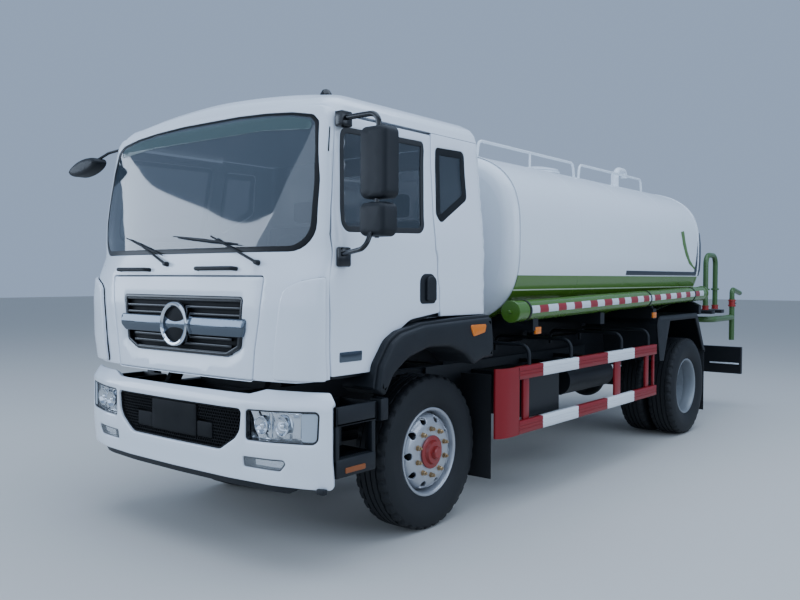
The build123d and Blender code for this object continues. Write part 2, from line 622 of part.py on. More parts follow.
def cab_fittings(inner):
    wipers = []
    for y, reach in ((-128, -300), (713, -450)):
        low_x, high_x = front_x(1790, y), front_x(1945, y + reach)
        foot = rod((low_x - 4, y, 1788), (low_x + 28, y, 1792), 14) - cab_body(1060, SEAM_Z, -SEAT, -SEAT, -SEAT)
        arm = rod((low_x + 24, y, 1790), (high_x + 20, y + reach, 1945), 8)
        middle = y + reach
        ends = [(front_x(1945, middle + k) + 20, middle + k, 1945) for k in (-350, 60)]
        blade = rod(ends[0], ends[1], 8)
        wipers.append(fuse(foot, arm, blade))
    handles = []
    for y in (-494, 367):
        x = front_x(1745, y)
        bar = box(x + 18, x + 30, y - 175, y + 175, 1738, 1760)
        feet = [box(x - 40, x + 25, y + k * 150 - 12, y + k * 150 + 12, 1738, 1760) for k in (-1, 1)]
        handles.append(fuse(bar, *feet) - cab_body(1060, SEAM_Z, -SEAT, -SEAT, -SEAT))
    save("wipers", *wipers, *handles)
    room = cab_body(1060, SEAM_Z, CAB_WALL + SEAT, CAB_FRONT_WALL + SEAT, CAB_WALL)
    dash = plate_y([(1300, 1500), (1300, 1790), (820, 1800), (760, 1700), (860, 1500)], -1000, 1000) & room
    column = rod((800, 480, 1640), (640, 480, 1790), 28)
    rim = Solid.make_torus(225, 16).moved(Location(Plane(origin=(630, 480, 1800), z_dir=(-0.75, 0, 0.66))))
    spoke = Solid.make_cylinder(60, 30, Plane(origin=(645, 480, 1785), z_dir=(-0.75, 0, 0.66)))
    bars = [rod((640, 480 - 220, 1793), (640, 480 + 220, 1793), 12)]
    save("dashboard", fuse(dash, column, rim, spoke, *bars))
    seats = []
    for y, half in ((480, 270), (-420, 420)):
        base = box(-260, 260, y - half, y + half, 1484 + SEAT, 1640)
        back = plate_y([(-260, 1640), (-120, 1640), (-230, 2330), (-340, 2330)], y - half + 20, y + half - 20)
        seats.append(fuse(base, back))
    save("seats", *seats)


def fender_flare():
    """Wheel-arch lip of the cab, on the left."""
    outer = [(728, 990), (750, DOOR_LOW - 20 - SEAT)] + [(x, z - SEAT) for x, z in ARCH[1:-1]]
    outer += [(-545, 1444 - SEAT), (-545, 1300)]
    inner = [(-348, 1150), (-235, 1200), (4, 1318), (291, 1330), (480, 1262), (600, 1120), (655, 990)]
    return plate_y(outer + inner, CAB_HALF - 250, BODY_HALF - 25)


# ---- front end ----
# columns: station of the front face, offset from the middle
BUMPER_PLAN = [(1345, 0), (1335, 500), (1300, 850), (1235, 1080), (1163, 1215)]
BUMPER_LOW = 540.0
BUMPER_TOP = 1066.0
BUMPER_MIDDLE = 1034.0     # the top between the raised ends
BUMPER_BEVEL = 985.0       # the front face leans back above this
VALANCE_LOW = 465.0
BUMPER_DEPTH = 60.0
OPENING = [(-620, 940), (620, 940), (606, 815), (572, 768), (440, 683), (-440, 683), (-572, 768), (-606, 815)]
HEAD_LAMP = [(665, 941), (1149, 958), (1141, 773), (664, 762)]
STEP_REAR = 745.0
STEP_FRONT = 1097.0
STEP_OUT = 1190.0
FOG_LAMP = [(644, 664), (970, 672), (912, 605), (644, 604)]


def bumper_shell(depth, z0, z1, lean=0.0):
    """A wrapped shell that follows the bumper's plan, of a given depth; its top may lean back."""
    inner = [(x - depth, max(y - depth * 0.55, 0)) for x, y in BUMPER_PLAN]
    faces = []
    for z, back in ((z0, 0.0), (z1, lean)):
        outer = [(x - back, y - back * 0.55 if y else 0) for x, y in BUMPER_PLAN]
        half = outer + list(reversed(inner))
        faces.append(Plane.XY.offset(z) * make_face(Polyline(*half, close=True)))
    solid = loft(faces, ruled=True)
    return solid + mirrored(solid)


def lamp_outline(points, side):
    """A lamp's outline on the left or right of the bumper."""
    return [(y * side, z) for y, z in points]


def front_end():
    """Bumper, its lamps, mesh and valance, and the two step boxes behind it."""
    shell = bumper_shell(BUMPER_DEPTH, BUMPER_LOW, BUMPER_BEVEL)
    shell = shell + bumper_shell(BUMPER_DEPTH, BUMPER_BEVEL, BUMPER_TOP, 28)
    ramp = 115
    hollow = [(-665, BUMPER_MIDDLE), (665, BUMPER_MIDDLE), (665 + ramp, BUMPER_TOP + 1), (-665 - ramp, BUMPER_TOP + 1)]
    shell = shell - plate_x(hollow, 1000, 1500)
    for side in (-1, 1):
        corner = [(side * 1168, BUMPER_TOP + 1), (side * 1230, BUMPER_TOP + 1), (side * 1230, 1000)]
        shell = shell - plate_x(corner, 1000, 1500)
        rail_in, rail_out = RAIL_HALF - RAIL_FLANGE, RAIL_HALF
        shell = shell + box(RAIL_FRONT + SEAT, 1290, side * rail_in, side * (rail_out - 5), 950, 985)
    shell = shell - plate_x(OPENING, 1100, 1500)
    for side in (1, -1):
        for outline in (HEAD_LAMP, FOG_LAMP):
            shell = shell - plate_x(lamp_outline(outline, side), 1100, 1500)
    save("front_bumper", shell.clean())
    lens = bumper_shell(BUMPER_DEPTH - 10, BUMPER_LOW, BUMPER_BEVEL)
    lamps = [lens & inset_wall(lamp_outline(outline, side), GLASS_PLAY, 1100, 1500)
             for side in (1, -1) for outline in (HEAD_LAMP, FOG_LAMP)]
    save("front_lamps", *lamps)
    inner_mesh = bumper_shell(BUMPER_DEPTH - 15, 600, BUMPER_BEVEL).moved(Location((-12, 0, 0)))
    mesh_frame = inner_mesh & inset_wall(OPENING, GLASS_PLAY, 1100, 1500)
    for side in (-1, 1):
        mesh_frame = mesh_frame - box(1100, 1500, side * 215, side * 365, TOW_Z - 47, TOW_Z + 47)
    valance = bumper_shell(BUMPER_DEPTH, VALANCE_LOW, BUMPER_LOW - SEAT).moved(Location((-22, 0, 0)))
    save("bumper_grille", mesh_frame, valance & box(1050, 1500, -1150, 1150, 400, 600))
    steps = []
    for side in (1, -1):
        treads = [box(STEP_REAR, STEP_FRONT, 900 * side, STEP_OUT * side, low, high) for low, high in ((858, 980), (565, 680))]
        wall = box(STEP_REAR, STEP_FRONT, 880 * side, 905 * side, 565, 980)
        cut = box(STEP_REAR + 20, STEP_FRONT - 20, 930 * side, 1160 * side, 900, 981)
        strut = box(840, 920, (RAIL_HALF + SEAT) * side, 890 * side, 860, 920)
        steps.append(fuse(treads[0], treads[1], wall, strut) - cut)
    save("cab_steps", *steps)


# ---- tank and body ----
def oval(half, rise, power=TANK_POWER):
    """Stops of one quarter of the tank's rounded-square section: (across, up) pairs."""
    def up(y):
        return rise * (1 - (y / half) ** power) ** (1 / power)
    knee = half * 0.5 ** (1 / power)
    shoulder = half * 0.51
    waist = half * 0.973
    return [(shoulder, up(shoulder)), (knee, up(knee)), (waist, up(waist))]


def tank_face(x, shrink=0.0):
    half, rise = TANK_HALF - shrink, TANK_RISE - shrink
    (sy, sz), (ky, kz), (wy, wz) = oval(half, rise)
    with BuildSketch(Plane(origin=(x, 0, TANK_AXIS_Z), x_dir=(0, 1, 0), z_dir=(1, 0, 0))) as sketch:
        with BuildLine():
            ThreePointArc((-sy, sz), (0, rise), (sy, sz))
            ThreePointArc((sy, sz), (ky, kz), (wy, wz))
            ThreePointArc((wy, wz), (half, 0), (wy, -wz))
            ThreePointArc((wy, -wz), (ky, -kz), (sy, -sz))
            ThreePointArc((sy, -sz), (0, -rise), (-sy, -sz))
            ThreePointArc((-sy, -sz), (-ky, -kz), (-wy, -wz))
            ThreePointArc((-wy, -wz), (-half, 0), (-wy, wz))
            ThreePointArc((-wy, wz), (-ky, kz), (-sy, sz))
        make_face()
    return sketch.sketch


MANHOLE_X = -3229.0
MANHOLE_RADIUS = 245.0
COLLAR = 90.0        # the manhole's neck over the tank's top
LID_HINGE_X = MANHOLE_X - MANHOLE_RADIUS - 45


SILL_IN = 300.0
SILL_TOP = 1120.0


def tube_axis(x, side):
    """A point on the axis of a side tube, which climbs towards the rear."""
    share = (TUBE_FRONT - x) / (TUBE_FRONT - TANK_REAR)
    return (x, side * TUBE_Y, TUBE_Z + (TUBE_REAR_Z - TUBE_Z) * share)


def tank_parts():
    """Tank, its cradle, handrails and ladder, the manhole with its lid, and the vent."""
    top = TANK_AXIS_Z + TANK_RISE
    faces = [tank_face(TANK_REAR, 120), tank_face(TANK_REAR + 35, 40), tank_face(TANK_REAR + HEAD_DEPTH),
             tank_face(TANK_FRONT - HEAD_DEPTH), tank_face(TANK_FRONT - 35, 40), tank_face(TANK_FRONT, 120)]
    save("tank_shell", loft(faces, ruled=True))
    bore = extrude(tank_face(TANK_REAR - 50, -SEAT), amount=TANK_FRONT - TANK_REAR + 100, dir=(1, 0, 0))
    bottom = TANK_AXIS_Z - TANK_RISE
    half = [(RAIL_HALF, RAIL_TOP + SEAT), (RAIL_HALF, 1180), (RAIL_HALF + 50, bottom + 12),
            (TUBE_Y + 45, bottom + 12), (TUBE_Y + 45, 1400), (1000, 1500)]
    outline = half + [(-y, z) for y, z in reversed(half)]
    cradles = []
    for x in SADDLE_X:
        saddle = plate_x(outline, x - 40, x + 40) - bore
        for side in (-1, 1):
            saddle = saddle - rod(tube_axis(x - 60, side), tube_axis(x + 60, side), TUBE_RADIUS + SEAT)
        cradles.append(saddle)
    sill = [box(TANK_REAR + 100, TANK_FRONT - 100, side * SILL_IN, side * RAIL_HALF, RAIL_TOP + SEAT, SILL_TOP)
            for side in (-1, 1)]
    save("tank_cradle", fuse(sill[0], sill[1], *cradles))
    rails = []
    for side in (1, -1):
        y = 500 * side
        foot = TANK_AXIS_Z + TANK_RISE * (1 - (500 / TANK_HALF) ** TANK_POWER) ** (1 / TANK_POWER) + 5
        for x0, x1 in ((-1351, -3141), (-3230, -4870)):
            rail = pipe([(x0, y, foot), (x0, y, foot + 150), (x1, y, foot + 150), (x1, y, foot)], 60, 17)
            middle = (x0 + x1) / 2
            rails.append(rail + rod((middle, y, foot), (middle, y, foot + 150), 15))
    ladder = []
    for y in (-180, 180):
        ladder.append(rod((TANK_REAR - 90, y - 700, DECK_TOP + SEAT), (TANK_REAR - 90, y - 700, 2500), 18))
    rungs = [rod((TANK_REAR - 90, -880, z), (TANK_REAR - 90, -520, z), 13) for z in range(1500, 2500, 230)]
    hooks = [rod((TANK_REAR - 90, y - 700, z), (TANK_REAR - SEAT, y - 700, z), 14) for y in (-180, 180)
             for z in (1700, 2400)]
    save("handrails", *rails, fuse(*ladder, *rungs, *hooks))
    collar = rod((MANHOLE_X, 0, top - 30), (MANHOLE_X, 0, top + COLLAR), MANHOLE_RADIUS)
    high = top + COLLAR
    ears = box(LID_HINGE_X - 20, MANHOLE_X - MANHOLE_RADIUS + 20, -50, 50, high - 50, high - 20)
    hinge = rod((LID_HINGE_X, -50, high + 10), (LID_HINGE_X, 50, high + 10), 8)
    cheek = box(LID_HINGE_X - 18, LID_HINGE_X + 18, -50, -35, high - 30, high + 25)
    cheeks = cheek + mirrored(cheek)
    vent_y = 330
    vent = pipe([(-4530, vent_y, 2700), (-4530, vent_y, 2964), (-4762, vent_y, 2964), (-4762, vent_y, 2880)], 55, 38)
    save("tank_top_fittings", fuse(collar, ears, cheeks, hinge) - bore, vent - bore)
    lid = rod((MANHOLE_X, 0, high + SEAT), (MANHOLE_X, 0, high + 25), MANHOLE_RADIUS + 20)
    dome = Solid.make_cone(MANHOLE_RADIUS - 40, 120, 45, Plane(origin=(MANHOLE_X, 0, high + 25), z_dir=(0, 0, 1)))
    arm = box(LID_HINGE_X - 15, MANHOLE_X - MANHOLE_RADIUS + 40, -28, 28, high + 4, high + 24)
    ring = rod((LID_HINGE_X, -28, high + 10), (LID_HINGE_X, 28, high + 10), 17)
    lid = fuse(lid, dome, arm, ring) - rod((LID_HINGE_X, -60, high + 10), (LID_HINGE_X, 60, high + 10), 8.05)
    save("manhole_lid", lid)


DECK_TOP = 1320.0


def side_parts():
    """Side tubes, the side guards and the hoops that carry them."""
    save("side_tubes", *(rod(tube_axis(TUBE_FRONT, side), tube_axis(TANK_REAR, side), TUBE_RADIUS)
                         for side in (1, -1)))
    face = BODY_HALF
    back = face - GUARD_THICK
    nose_plan = [(-777, face), (GUARD_FLAT, face), (-590, face - 6), (-530, face - 24), (GUARD_FRONT, face - 52),
                 (GUARD_FRONT, face - 92), (-540, back - 22), (-600, back - 5), (-777, back)]
    nose = extrude(Plane.XY.offset(GUARD_BOTTOM) * make_face(Polyline(*nose_plan, close=True)),
                   amount=GUARD_TOP - GUARD_BOTTOM)
    top_bar = box(-770, GUARD_REAR, back, face, GUARD_TOP - GUARD_BAR, GUARD_TOP)
    low_bar = box(-770, GUARD_REAR, back, face, GUARD_BOTTOM, GUARD_BOTTOM + GUARD_BAR)
    posts = [box(x, x - 95, back, face, GUARD_BOTTOM, GUARD_TOP) for x in (-870, -2608, GUARD_REAR + 95)]
    save("side_guards", *both(fuse(nose, top_bar, low_bar, *posts)))
    brackets = []
    foot_y, inner_y = face - HOOP_RADIUS - 1, RAIL_HALF + 65
    for side in (1, -1):
        for x in HOOP_X:
            hoop = pipe([(x, side * foot_y, GUARD_TOP + SEAT), (x, side * foot_y, HOOP_Z),
                         (x, side * inner_y, HOOP_Z), (x, side * inner_y, SILL_TOP - 50)], HOOP_BEND - 15,
                        HOOP_RADIUS)
            seat = box(x - 22, x + 22, side * (RAIL_HALF + SEAT), side * inner_y, SILL_TOP - 60, SILL_TOP - 15)
            brackets.append(fuse(hoop, seat))
    save("guard_brackets", *brackets)


FRAME_RADIUS = 31.0
PIPE_RADIUS = 38.0


def rear_parts():
    """Rear mudguards, bumper, lamps, platform, pump and spray pipes."""
    inner = REAR_OUTER_Y - TWIN_SPACING - TYRE_HALF - 10
    outer_y = BODY_HALF - GUARD_THICK - 6
    outside = [(-3684, 863), (-3605, 1230), (-3640, DECK_TOP), (-4787, DECK_TOP), (-5062, 880)]
    inside = [(-5044, 878), (-4778, DECK_TOP - 20), (-3656, DECK_TOP - 20), (-3625, 1232), (-3702, 864)]
    lip = [(-5000, 876), (-4735, DECK_TOP - 60), (-3964, DECK_TOP - 60), (-3791, 850)]
    guard = plate_y(outside + inside, inner, outer_y) + plate_y(outside + lip, outer_y - 20, outer_y)
    stay = box(-4280, -4220, RAIL_HALF + SEAT, inner + 20, DECK_TOP - 85, DECK_TOP - 50)
    stay = stay + box(-4280, -4220, inner, inner + 20, DECK_TOP - 85, DECK_TOP - 10)
    leg = box(-4280, -4220, RAIL_HALF + SEAT, RAIL_HALF + 20, 900, DECK_TOP - 50)
    flap_rear = box(-5060, -5048, inner, outer_y, 190, 890)
    flap_front = box(-612, -600, 860, 1200, 243, 1010)
    front_arm = box(-612, -560, RAIL_HALF + SEAT, 870, 950, 990)
    save("mudguards", *both(fuse(guard, stay, leg, flap_rear), fuse(flap_front, front_arm)))
    bar_x = -6560
    bar = box(bar_x, bar_x - 60, -1175, 1175, 464, 813)
    arms = [box(bar_x + 0, bar_x + 260, side * 330, side * 400, 640, 745) for side in (-1, 1)]
    save("rear_bumper", fuse(bar, *arms))
    lamps = [box(bar_x - 60 - SEAT, bar_x - 85, side * 700, side * 1100, 570, 700) for side in (-1, 1)]
    save("marker_lamps", *lamps)
    deck = box(TANK_REAR - 60, -6200, -1100, 1100, DECK_TOP - 50, DECK_TOP)
    legs = [box(x - 40, x + 40, side * 340, side * 430, RAIL_TOP + SEAT, DECK_TOP - 45) for x in (-5200, -6100)
            for side in (-1, 1)]
    save("rear_platform", fuse(deck, *legs))
    body = rod((-5600, -230, 1145), (-5600, 230, 1145), 120)
    base = box(-5700, -5500, -RAIL_HALF, RAIL_HALF, RAIL_TOP + SEAT, RAIL_TOP + 25)
    save("water_pump", fuse(body, base))
    run = []
    for side in (1, -1):
        y = 1000 * side
        frame = pipe([(-5679, y, DECK_TOP + SEAT), (-5679, y, 1992), (-6037, y, 1992), (-6037, y, DECK_TOP + SEAT)],
                     60, FRAME_RADIUS)
        knob = rod((-6037, y, 1950), (-6180, y, 1975), 22)
        y = 1050 * side
        low = pipe([(-5600, (230 + SEAT) * side, 1200), (-5600, y, 1200), (-6520, y, 1200)], 120, PIPE_RADIUS)
        stem = rod((-6520, y, 902), (-6520, y, 1450), PIPE_RADIUS - 4)
        beak = pipe([(-6520, y, 1440), (-6520, y, 1568), (-6690, y, 1568), (-6875, y, 1512)], 60, PIPE_RADIUS - 6)
        tip = box(-6865, REAR_AXLE - REAR_OVERHANG, y - 60, y + 60, 1485, 1530)
        run += [fuse(frame, knob), fuse(low, stem, beak, tip)]
    save("rear_pipework", *run)


def main():
    os.makedirs("parts", exist_ok=True)
    save("frame_rails", frame_rails())
    axle_parts()
    engine_parts()
    service_parts()
    for name, x, side, twin in (("front_left", 0, 1, False), ("front_right", 0, -1, False),
                                ("rear_left", REAR_AXLE, 1, True), ("rear_right", REAR_AXLE, -1, True)):
        wheel_corner(name, x, side, twin)
    save("knuckle_left", knuckle(1))
    save("knuckle_right", knuckle(-1))
    cab_fittings(cab_parts())
    save("fender_flares", *both(fender_flare()))
    front_end()
    tank_parts()
    side_parts()
    rear_parts()


main()
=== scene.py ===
"""Two-axle water tanker truck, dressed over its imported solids.

All sizes are millimetres from the middle of the front axle on the ground: X forwards, Y to the
vehicle's left, Z up. They turn to metres in the shared frame only when a mesh is made.
"""
from __future__ import annotations

import logging
import math
from dataclasses import dataclass, field
from enum import Enum
from typing import Callable, Iterable, Sequence

import bmesh
import bpy
import numpy as np
from bpy.types import Material, Node, NodeSocket, NodeTree, Object
from mathutils import Matrix, Vector
from mathutils.geometry import delaunay_2d_cdt


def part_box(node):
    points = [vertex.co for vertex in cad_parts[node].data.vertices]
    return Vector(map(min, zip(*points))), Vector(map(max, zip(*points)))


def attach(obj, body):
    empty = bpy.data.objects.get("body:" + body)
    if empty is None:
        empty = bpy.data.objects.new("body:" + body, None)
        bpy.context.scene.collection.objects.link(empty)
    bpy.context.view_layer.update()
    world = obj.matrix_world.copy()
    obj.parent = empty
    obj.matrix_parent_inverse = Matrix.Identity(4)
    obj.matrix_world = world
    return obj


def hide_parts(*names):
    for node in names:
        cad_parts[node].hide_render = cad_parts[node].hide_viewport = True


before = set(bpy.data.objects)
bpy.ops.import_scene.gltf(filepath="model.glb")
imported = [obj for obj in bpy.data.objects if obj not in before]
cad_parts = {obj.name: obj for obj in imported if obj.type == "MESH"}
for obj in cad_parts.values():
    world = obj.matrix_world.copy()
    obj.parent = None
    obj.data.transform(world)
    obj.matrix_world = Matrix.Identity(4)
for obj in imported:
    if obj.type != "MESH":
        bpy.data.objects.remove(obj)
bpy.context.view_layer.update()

LOG = logging.getLogger("tanker")
MM = 0.001
AXLE_X = float(sum(corner.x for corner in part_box("tyre_front_left"))) / 2

Array = np.ndarray
Pair = tuple[float, float]
Point = tuple[float, float, float]
Loop = list[Pair]
Outline = Sequence[Pair]
Relief = Callable[[Array, Array], Array]
Surface = Callable[[Array, Array], tuple[Array, Array]]


# ---- plane outlines ----
def arc(before: Sequence[float], here: Sequence[float], after: Sequence[float], bend: float, step: float,
        least: int) -> list[Array]:
    """Round one corner with a tangent arc.

    Args:
        before: the point before the corner.
        here: the corner.
        after: the point after it.
        bend: the arc's radius, made smaller where the runs are short.
        step: the angle of each chord, in degrees.
        least: the fewest chords.

    Returns:
        The arc's points, or the corner alone where it is sharp or nearly straight.
    """
    here = np.array(here, float)
    before, after = np.array(before, float) - here, np.array(after, float) - here
    one, two = before / np.linalg.norm(before), after / np.linalg.norm(after)
    angle = math.acos(float(np.clip(one @ two, -1, 1)))
    if bend <= 0 or angle > math.pi - 0.02:
        return [here]
    reach = min(bend / math.tan(angle / 2), 0.49 * np.linalg.norm(before), 0.49 * np.linalg.norm(after))
    radius, turn = reach * math.tan(angle / 2), math.pi - angle
    centre = here + (one + two) / np.linalg.norm(one + two) * (radius / math.sin(angle / 2))
    start, end = here + one * reach - centre, here + two * reach - centre
    chords = max(least, int(math.degrees(turn) / step))
    return [centre + (math.sin((1 - k / chords) * turn) * start + math.sin(k / chords * turn) * end) / math.sin(turn)
            for k in range(chords + 1)]


def rounded(corners: Sequence[tuple[float, ...]], radius: float = 0.0) -> Loop:
    """Round an outline's corners with tangent arcs.

    Args:
        corners: the corners, each (a, b) or (a, b, its own radius).
        radius: the radius of corners that state none.

    Returns:
        The rounded outline as a closed loop.
    """
    loop: Loop = []
    for index, corner in enumerate(corners):
        bend = corner[2] if len(corner) > 2 else radius
        before, after = corners[index - 1], corners[(index + 1) % len(corners)]
        loop += [tuple(point) for point in arc(before[:2], corner[:2], after[:2], bend, 12, 2)]
    return loop


def oblong(a0: float, a1: float, b0: float, b1: float, bend: float = 0.0) -> Loop:
    """An upright rectangle with rounded corners."""
    return rounded([(a0, b0), (a1, b0), (a1, b1), (a0, b1)], bend)


def circle(radius: float, count: int, a: float = 0.0, b: float = 0.0) -> Loop:
    """A circle's points."""
    return [(a + radius * math.cos(t), b + radius * math.sin(t)) for t in turns(count)]


def densify(loop: Outline, step: float) -> Array:
    """Divide a closed loop's long edges so that none is much longer than the step."""
    points = []
    for index, here in enumerate(loop):
        there = loop[(index + 1) % len(loop)]
        parts = max(1, int(round(math.dist(here, there) / step)))
        for part in range(parts):
            share = part / parts
            points.append((here[0] + (there[0] - here[0]) * share, here[1] + (there[1] - here[1]) * share))
    return np.array(points, float)


def signed_area(loop: Array) -> float:
    """Area inside a loop, positive when it runs anticlockwise."""
    x, y = loop[:, 0], loop[:, 1]
    return float(np.sum(x * np.roll(y, -1) - np.roll(x, -1) * y) / 2)


def leftwards(loop: Array, reach: float) -> Array:
    """Move a closed loop's points to the left of its run, with mitred corners."""
    ahead, behind = unit(np.roll(loop, -1, 0) - loop), unit(loop - np.roll(loop, 1, 0))
    normal = np.stack([-(ahead + behind)[:, 1], (ahead + behind)[:, 0]], 1)
    normal /= np.maximum(np.linalg.norm(normal, axis=1), 1e-9)[:, None]
    share = np.maximum(np.abs(np.sum(normal * np.stack([-ahead[:, 1], ahead[:, 0]], 1), 1)), 0.5)
    return loop + normal * (reach / share)[:, None]


def inside(points: Array, loop: Array) -> Array:
    """Which points lie inside a loop."""
    x, y = points[:, 0][:, None], points[:, 1][:, None]
    ax, ay = loop[:, 0][None], loop[:, 1][None]
    bx, by = np.roll(loop[:, 0], -1)[None], np.roll(loop[:, 1], -1)[None]
    crossing = (ay > y) != (by > y)
    with np.errstate(divide="ignore", invalid="ignore"):
        at = ax + (y - ay) * (bx - ax) / (by - ay)
    return (np.sum(crossing & (x < at), 1) % 2) == 1


def gap_to(points: Array, loop: Array, closed: bool = True) -> Array:
    """Distance of each point from a loop's or line's nearest edge."""
    start = loop if closed else loop[:-1]
    end = np.roll(loop, -1, 0) if closed else loop[1:]
    best = np.full(len(points), 1e9)
    for a, b in zip(start, end):
        run = b - a
        share = np.clip(((points - a) @ run) / max(float(run @ run), 1e-9), 0, 1)
        best = np.minimum(best, np.linalg.norm(points - a - share[:, None] * run, axis=1))
    return best


def unit(vectors: Array) -> Array:
    """Vectors at length 1."""
    return vectors / np.linalg.norm(vectors, axis=1)[:, None]


def turns(count: int) -> Array:
    """Even angles round a whole turn, in radians."""
    return np.linspace(0, 2 * math.pi, count, endpoint=False)


def within(points: Array, loops: Sequence[Array], margin: float = 0.0) -> Array:
    """Which points lie inside the first loop, outside the others and clear of them all by a margin."""
    keep = inside(points, loops[0])
    for hole in loops[1:]:
        keep &= ~inside(points, hole)
    for loop in loops if margin else []:
        keep &= gap_to(points, loop) > margin
    return keep


def smooth(value: Array) -> Array:
    """A soft step from 0 to 1."""
    value = np.clip(value, 0, 1)
    return value * value * (3 - 2 * value)


# ---- meshes ----
@dataclass
class Form:
    """Points and faces of a mesh in the making, in millimetres from the front axle."""

    points: Array = field(default_factory=lambda: np.zeros((0, 3)))
    faces: list[tuple[int, ...]] = field(default_factory=list)

    def __add__(self, other: "Form") -> "Form":
        """Both forms as one."""
        base = len(self.points)
        return Form(np.vstack([self.points, other.points]),
                    self.faces + [tuple(i + base for i in face) for face in other.faces])

    def flipped(self) -> "Form":
        """The form with its faces turned round."""
        return Form(self.points.copy(), [tuple(reversed(face)) for face in self.faces])

    def mirrored(self) -> "Form":
        """The form on the other side of the vehicle."""
        return Form(self.points * (1, -1, 1), [tuple(reversed(face)) for face in self.faces])

    def both(self) -> "Form":
        """The form and its mirror image."""
        return self + self.mirrored()

    def moved(self, x: float = 0.0, y: float = 0.0, z: float = 0.0) -> "Form":
        """The form shifted."""
        return Form(self.points + (x, y, z), list(self.faces))

    def turned(self, axis: str, degrees: float, centre: Point) -> "Form":
        """The form turned about a line along an axis through a point."""
        turn = np.array(Matrix.Rotation(math.radians(degrees), 3, axis))
        return Form((self.points - centre) @ turn.T + centre, list(self.faces))


def outward(form: Form) -> Form:
    """A closed form with its faces looking outwards, by the sign of its volume."""
    middle, volume = form.points.mean(0), 0
    for count in {len(face) for face in form.faces}:
        corners = form.points[np.array([face for face in form.faces if len(face) == count])] - middle
        for k in range(1, count - 1):
            volume += float(np.sum(corners[:, 0] * np.cross(corners[:, k], corners[:, k + 1])))
    return form if volume > 0 else form.flipped()


def total(forms: Iterable[Form]) -> Form:
    """All the forms as one."""
    result = Form()
    for form in forms:
        result += form
    return result


def grid(rows: Array, around: bool, caps: bool = True) -> Form:
    """Faces over a grid of points.

    Args:
        rows: points as (row, column, 3).
        around: whether each row closes on itself.
        caps: whether the first and last rows are filled, on a grid that closes.

    Returns:
        The form, facing outwards where its rows close.
    """
    count, width = rows.shape[:2]
    faces: list[tuple[int, ...]] = []
    for row in range(count - 1):
        for column in range(width if around else width - 1):
            a, b = row * width + column, row * width + (column + 1) % width
            faces.append((a, b, b + width, a + width))
    form = Form(rows.reshape(-1, 3), faces)
    if around and caps:
        for row, order in ((0, -1), (count - 1, 1)):
            ring = rows[row]
            if np.ptp(ring, axis=0).max() > 0.01:
                middle = len(form.points)
                form.points = np.vstack([form.points, ring.mean(0)])
                for column in range(width):
                    a, b = row * width + column, row * width + (column + 1) % width
                    form.faces.append((middle, a, b) if order > 0 else (middle, b, a))
    return outward(form) if around else form


def panel(surface: Surface, outline: Outline, thick: float, roll: float, step: float, holes: Sequence[Outline] = (),
          detail: Sequence[Array] = ()) -> Form:
    """A sheet with thickness and rolled outer edges, cut from a curved surface.

    Args:
        surface: gives points and outward normals from the surface's two coordinates.
        outline: the sheet's outline in those coordinates.
        thick: its thickness, inwards.
        roll: the radius of its outer edges.
        step: the spacing of its mesh.
        holes: the outlines of its openings.
        detail: more points of the mesh, where the surface has fine relief.

    Returns:
        The closed form.
    """
    loops = []
    for index, one in enumerate([outline, *holes]):
        loop = densify(one, step * 0.6)
        if (signed_area(loop) > 0) != (index == 0):
            loop = loop[::-1]
        loops.append(loop)
    tops = [leftwards(loop, roll) for loop in loops]
    low, high = tops[0].min(0), tops[0].max(0)
    across = np.arange(low[0] + step / 2, high[0], step)
    up = np.arange(low[1] + step / 2, high[1], step)
    field_points = np.array([(a + (step / 2 if row % 2 else 0), b) for row, b in enumerate(up) for a in across] or
                            [tuple((low + high) / 2)], float)
    field_points = field_points[within(field_points, tops, step * 0.35)]
    for line in detail:
        line = line[within(line, tops, 3)]
        if len(line) and len(field_points):
            near = np.min(np.linalg.norm(field_points[:, None] - line[None], axis=2), axis=1) < step * 0.3
            field_points = field_points[~near]
        field_points = np.vstack([field_points, line]) if len(line) else field_points
    flat = np.vstack([*tops, field_points]) if len(field_points) else np.vstack(tops)
    edges, base = [], 0
    for top in tops:
        edges += [(base + k, base + (k + 1) % len(top)) for k in range(len(top))]
        base += len(top)
    made = delaunay_2d_cdt([Vector(p) for p in flat], edges, [], 0, 1e-4)
    source = [one[0] if one else -1 for one in made[3]]
    triangles = np.array([[source[i] for i in face] for face in made[2] if all(source[i] >= 0 for i in face)])
    triangles = triangles[within(flat[triangles].mean(1), tops)]

    def raised(points: Array, depth: float) -> Array:
        """Points of the surface, sunk to a depth."""
        place, normal = surface(points[:, 0], points[:, 1])
        return place - normal * depth

    points = [raised(flat, 0)]
    faces = [tuple(int(i) for i in t) for t in triangles]
    start, used = 0, len(flat)
    foot: list[Array] = []
    for loop in loops:
        count = len(loop)
        previous = np.arange(start, start + count)
        for angle in (30, 60, 90, 180):
            turn = math.radians(angle)
            if angle < 100:
                ring = raised(leftwards(loop, roll * (1 - math.sin(turn))), roll * (1 - math.cos(turn)))
            else:
                ring = raised(loop, thick)
            points.append(ring)
            present = np.arange(used, used + count)
            used += count
            for k in range(count):
                n = (k + 1) % count
                faces.append((int(previous[n]), int(previous[k]), int(present[k]), int(present[n])))
            previous = present
        foot.append(previous)
        start += count
    rim = len(np.vstack(loops))
    inner = np.concatenate([*foot, np.arange(used, used + len(flat) - rim)])
    if len(flat) > rim:
        points.append(raised(flat[rim:], thick))
    faces += [tuple(int(inner[i]) for i in reversed(t)) for t in triangles]
    return outward(Form(np.vstack(points), faces))


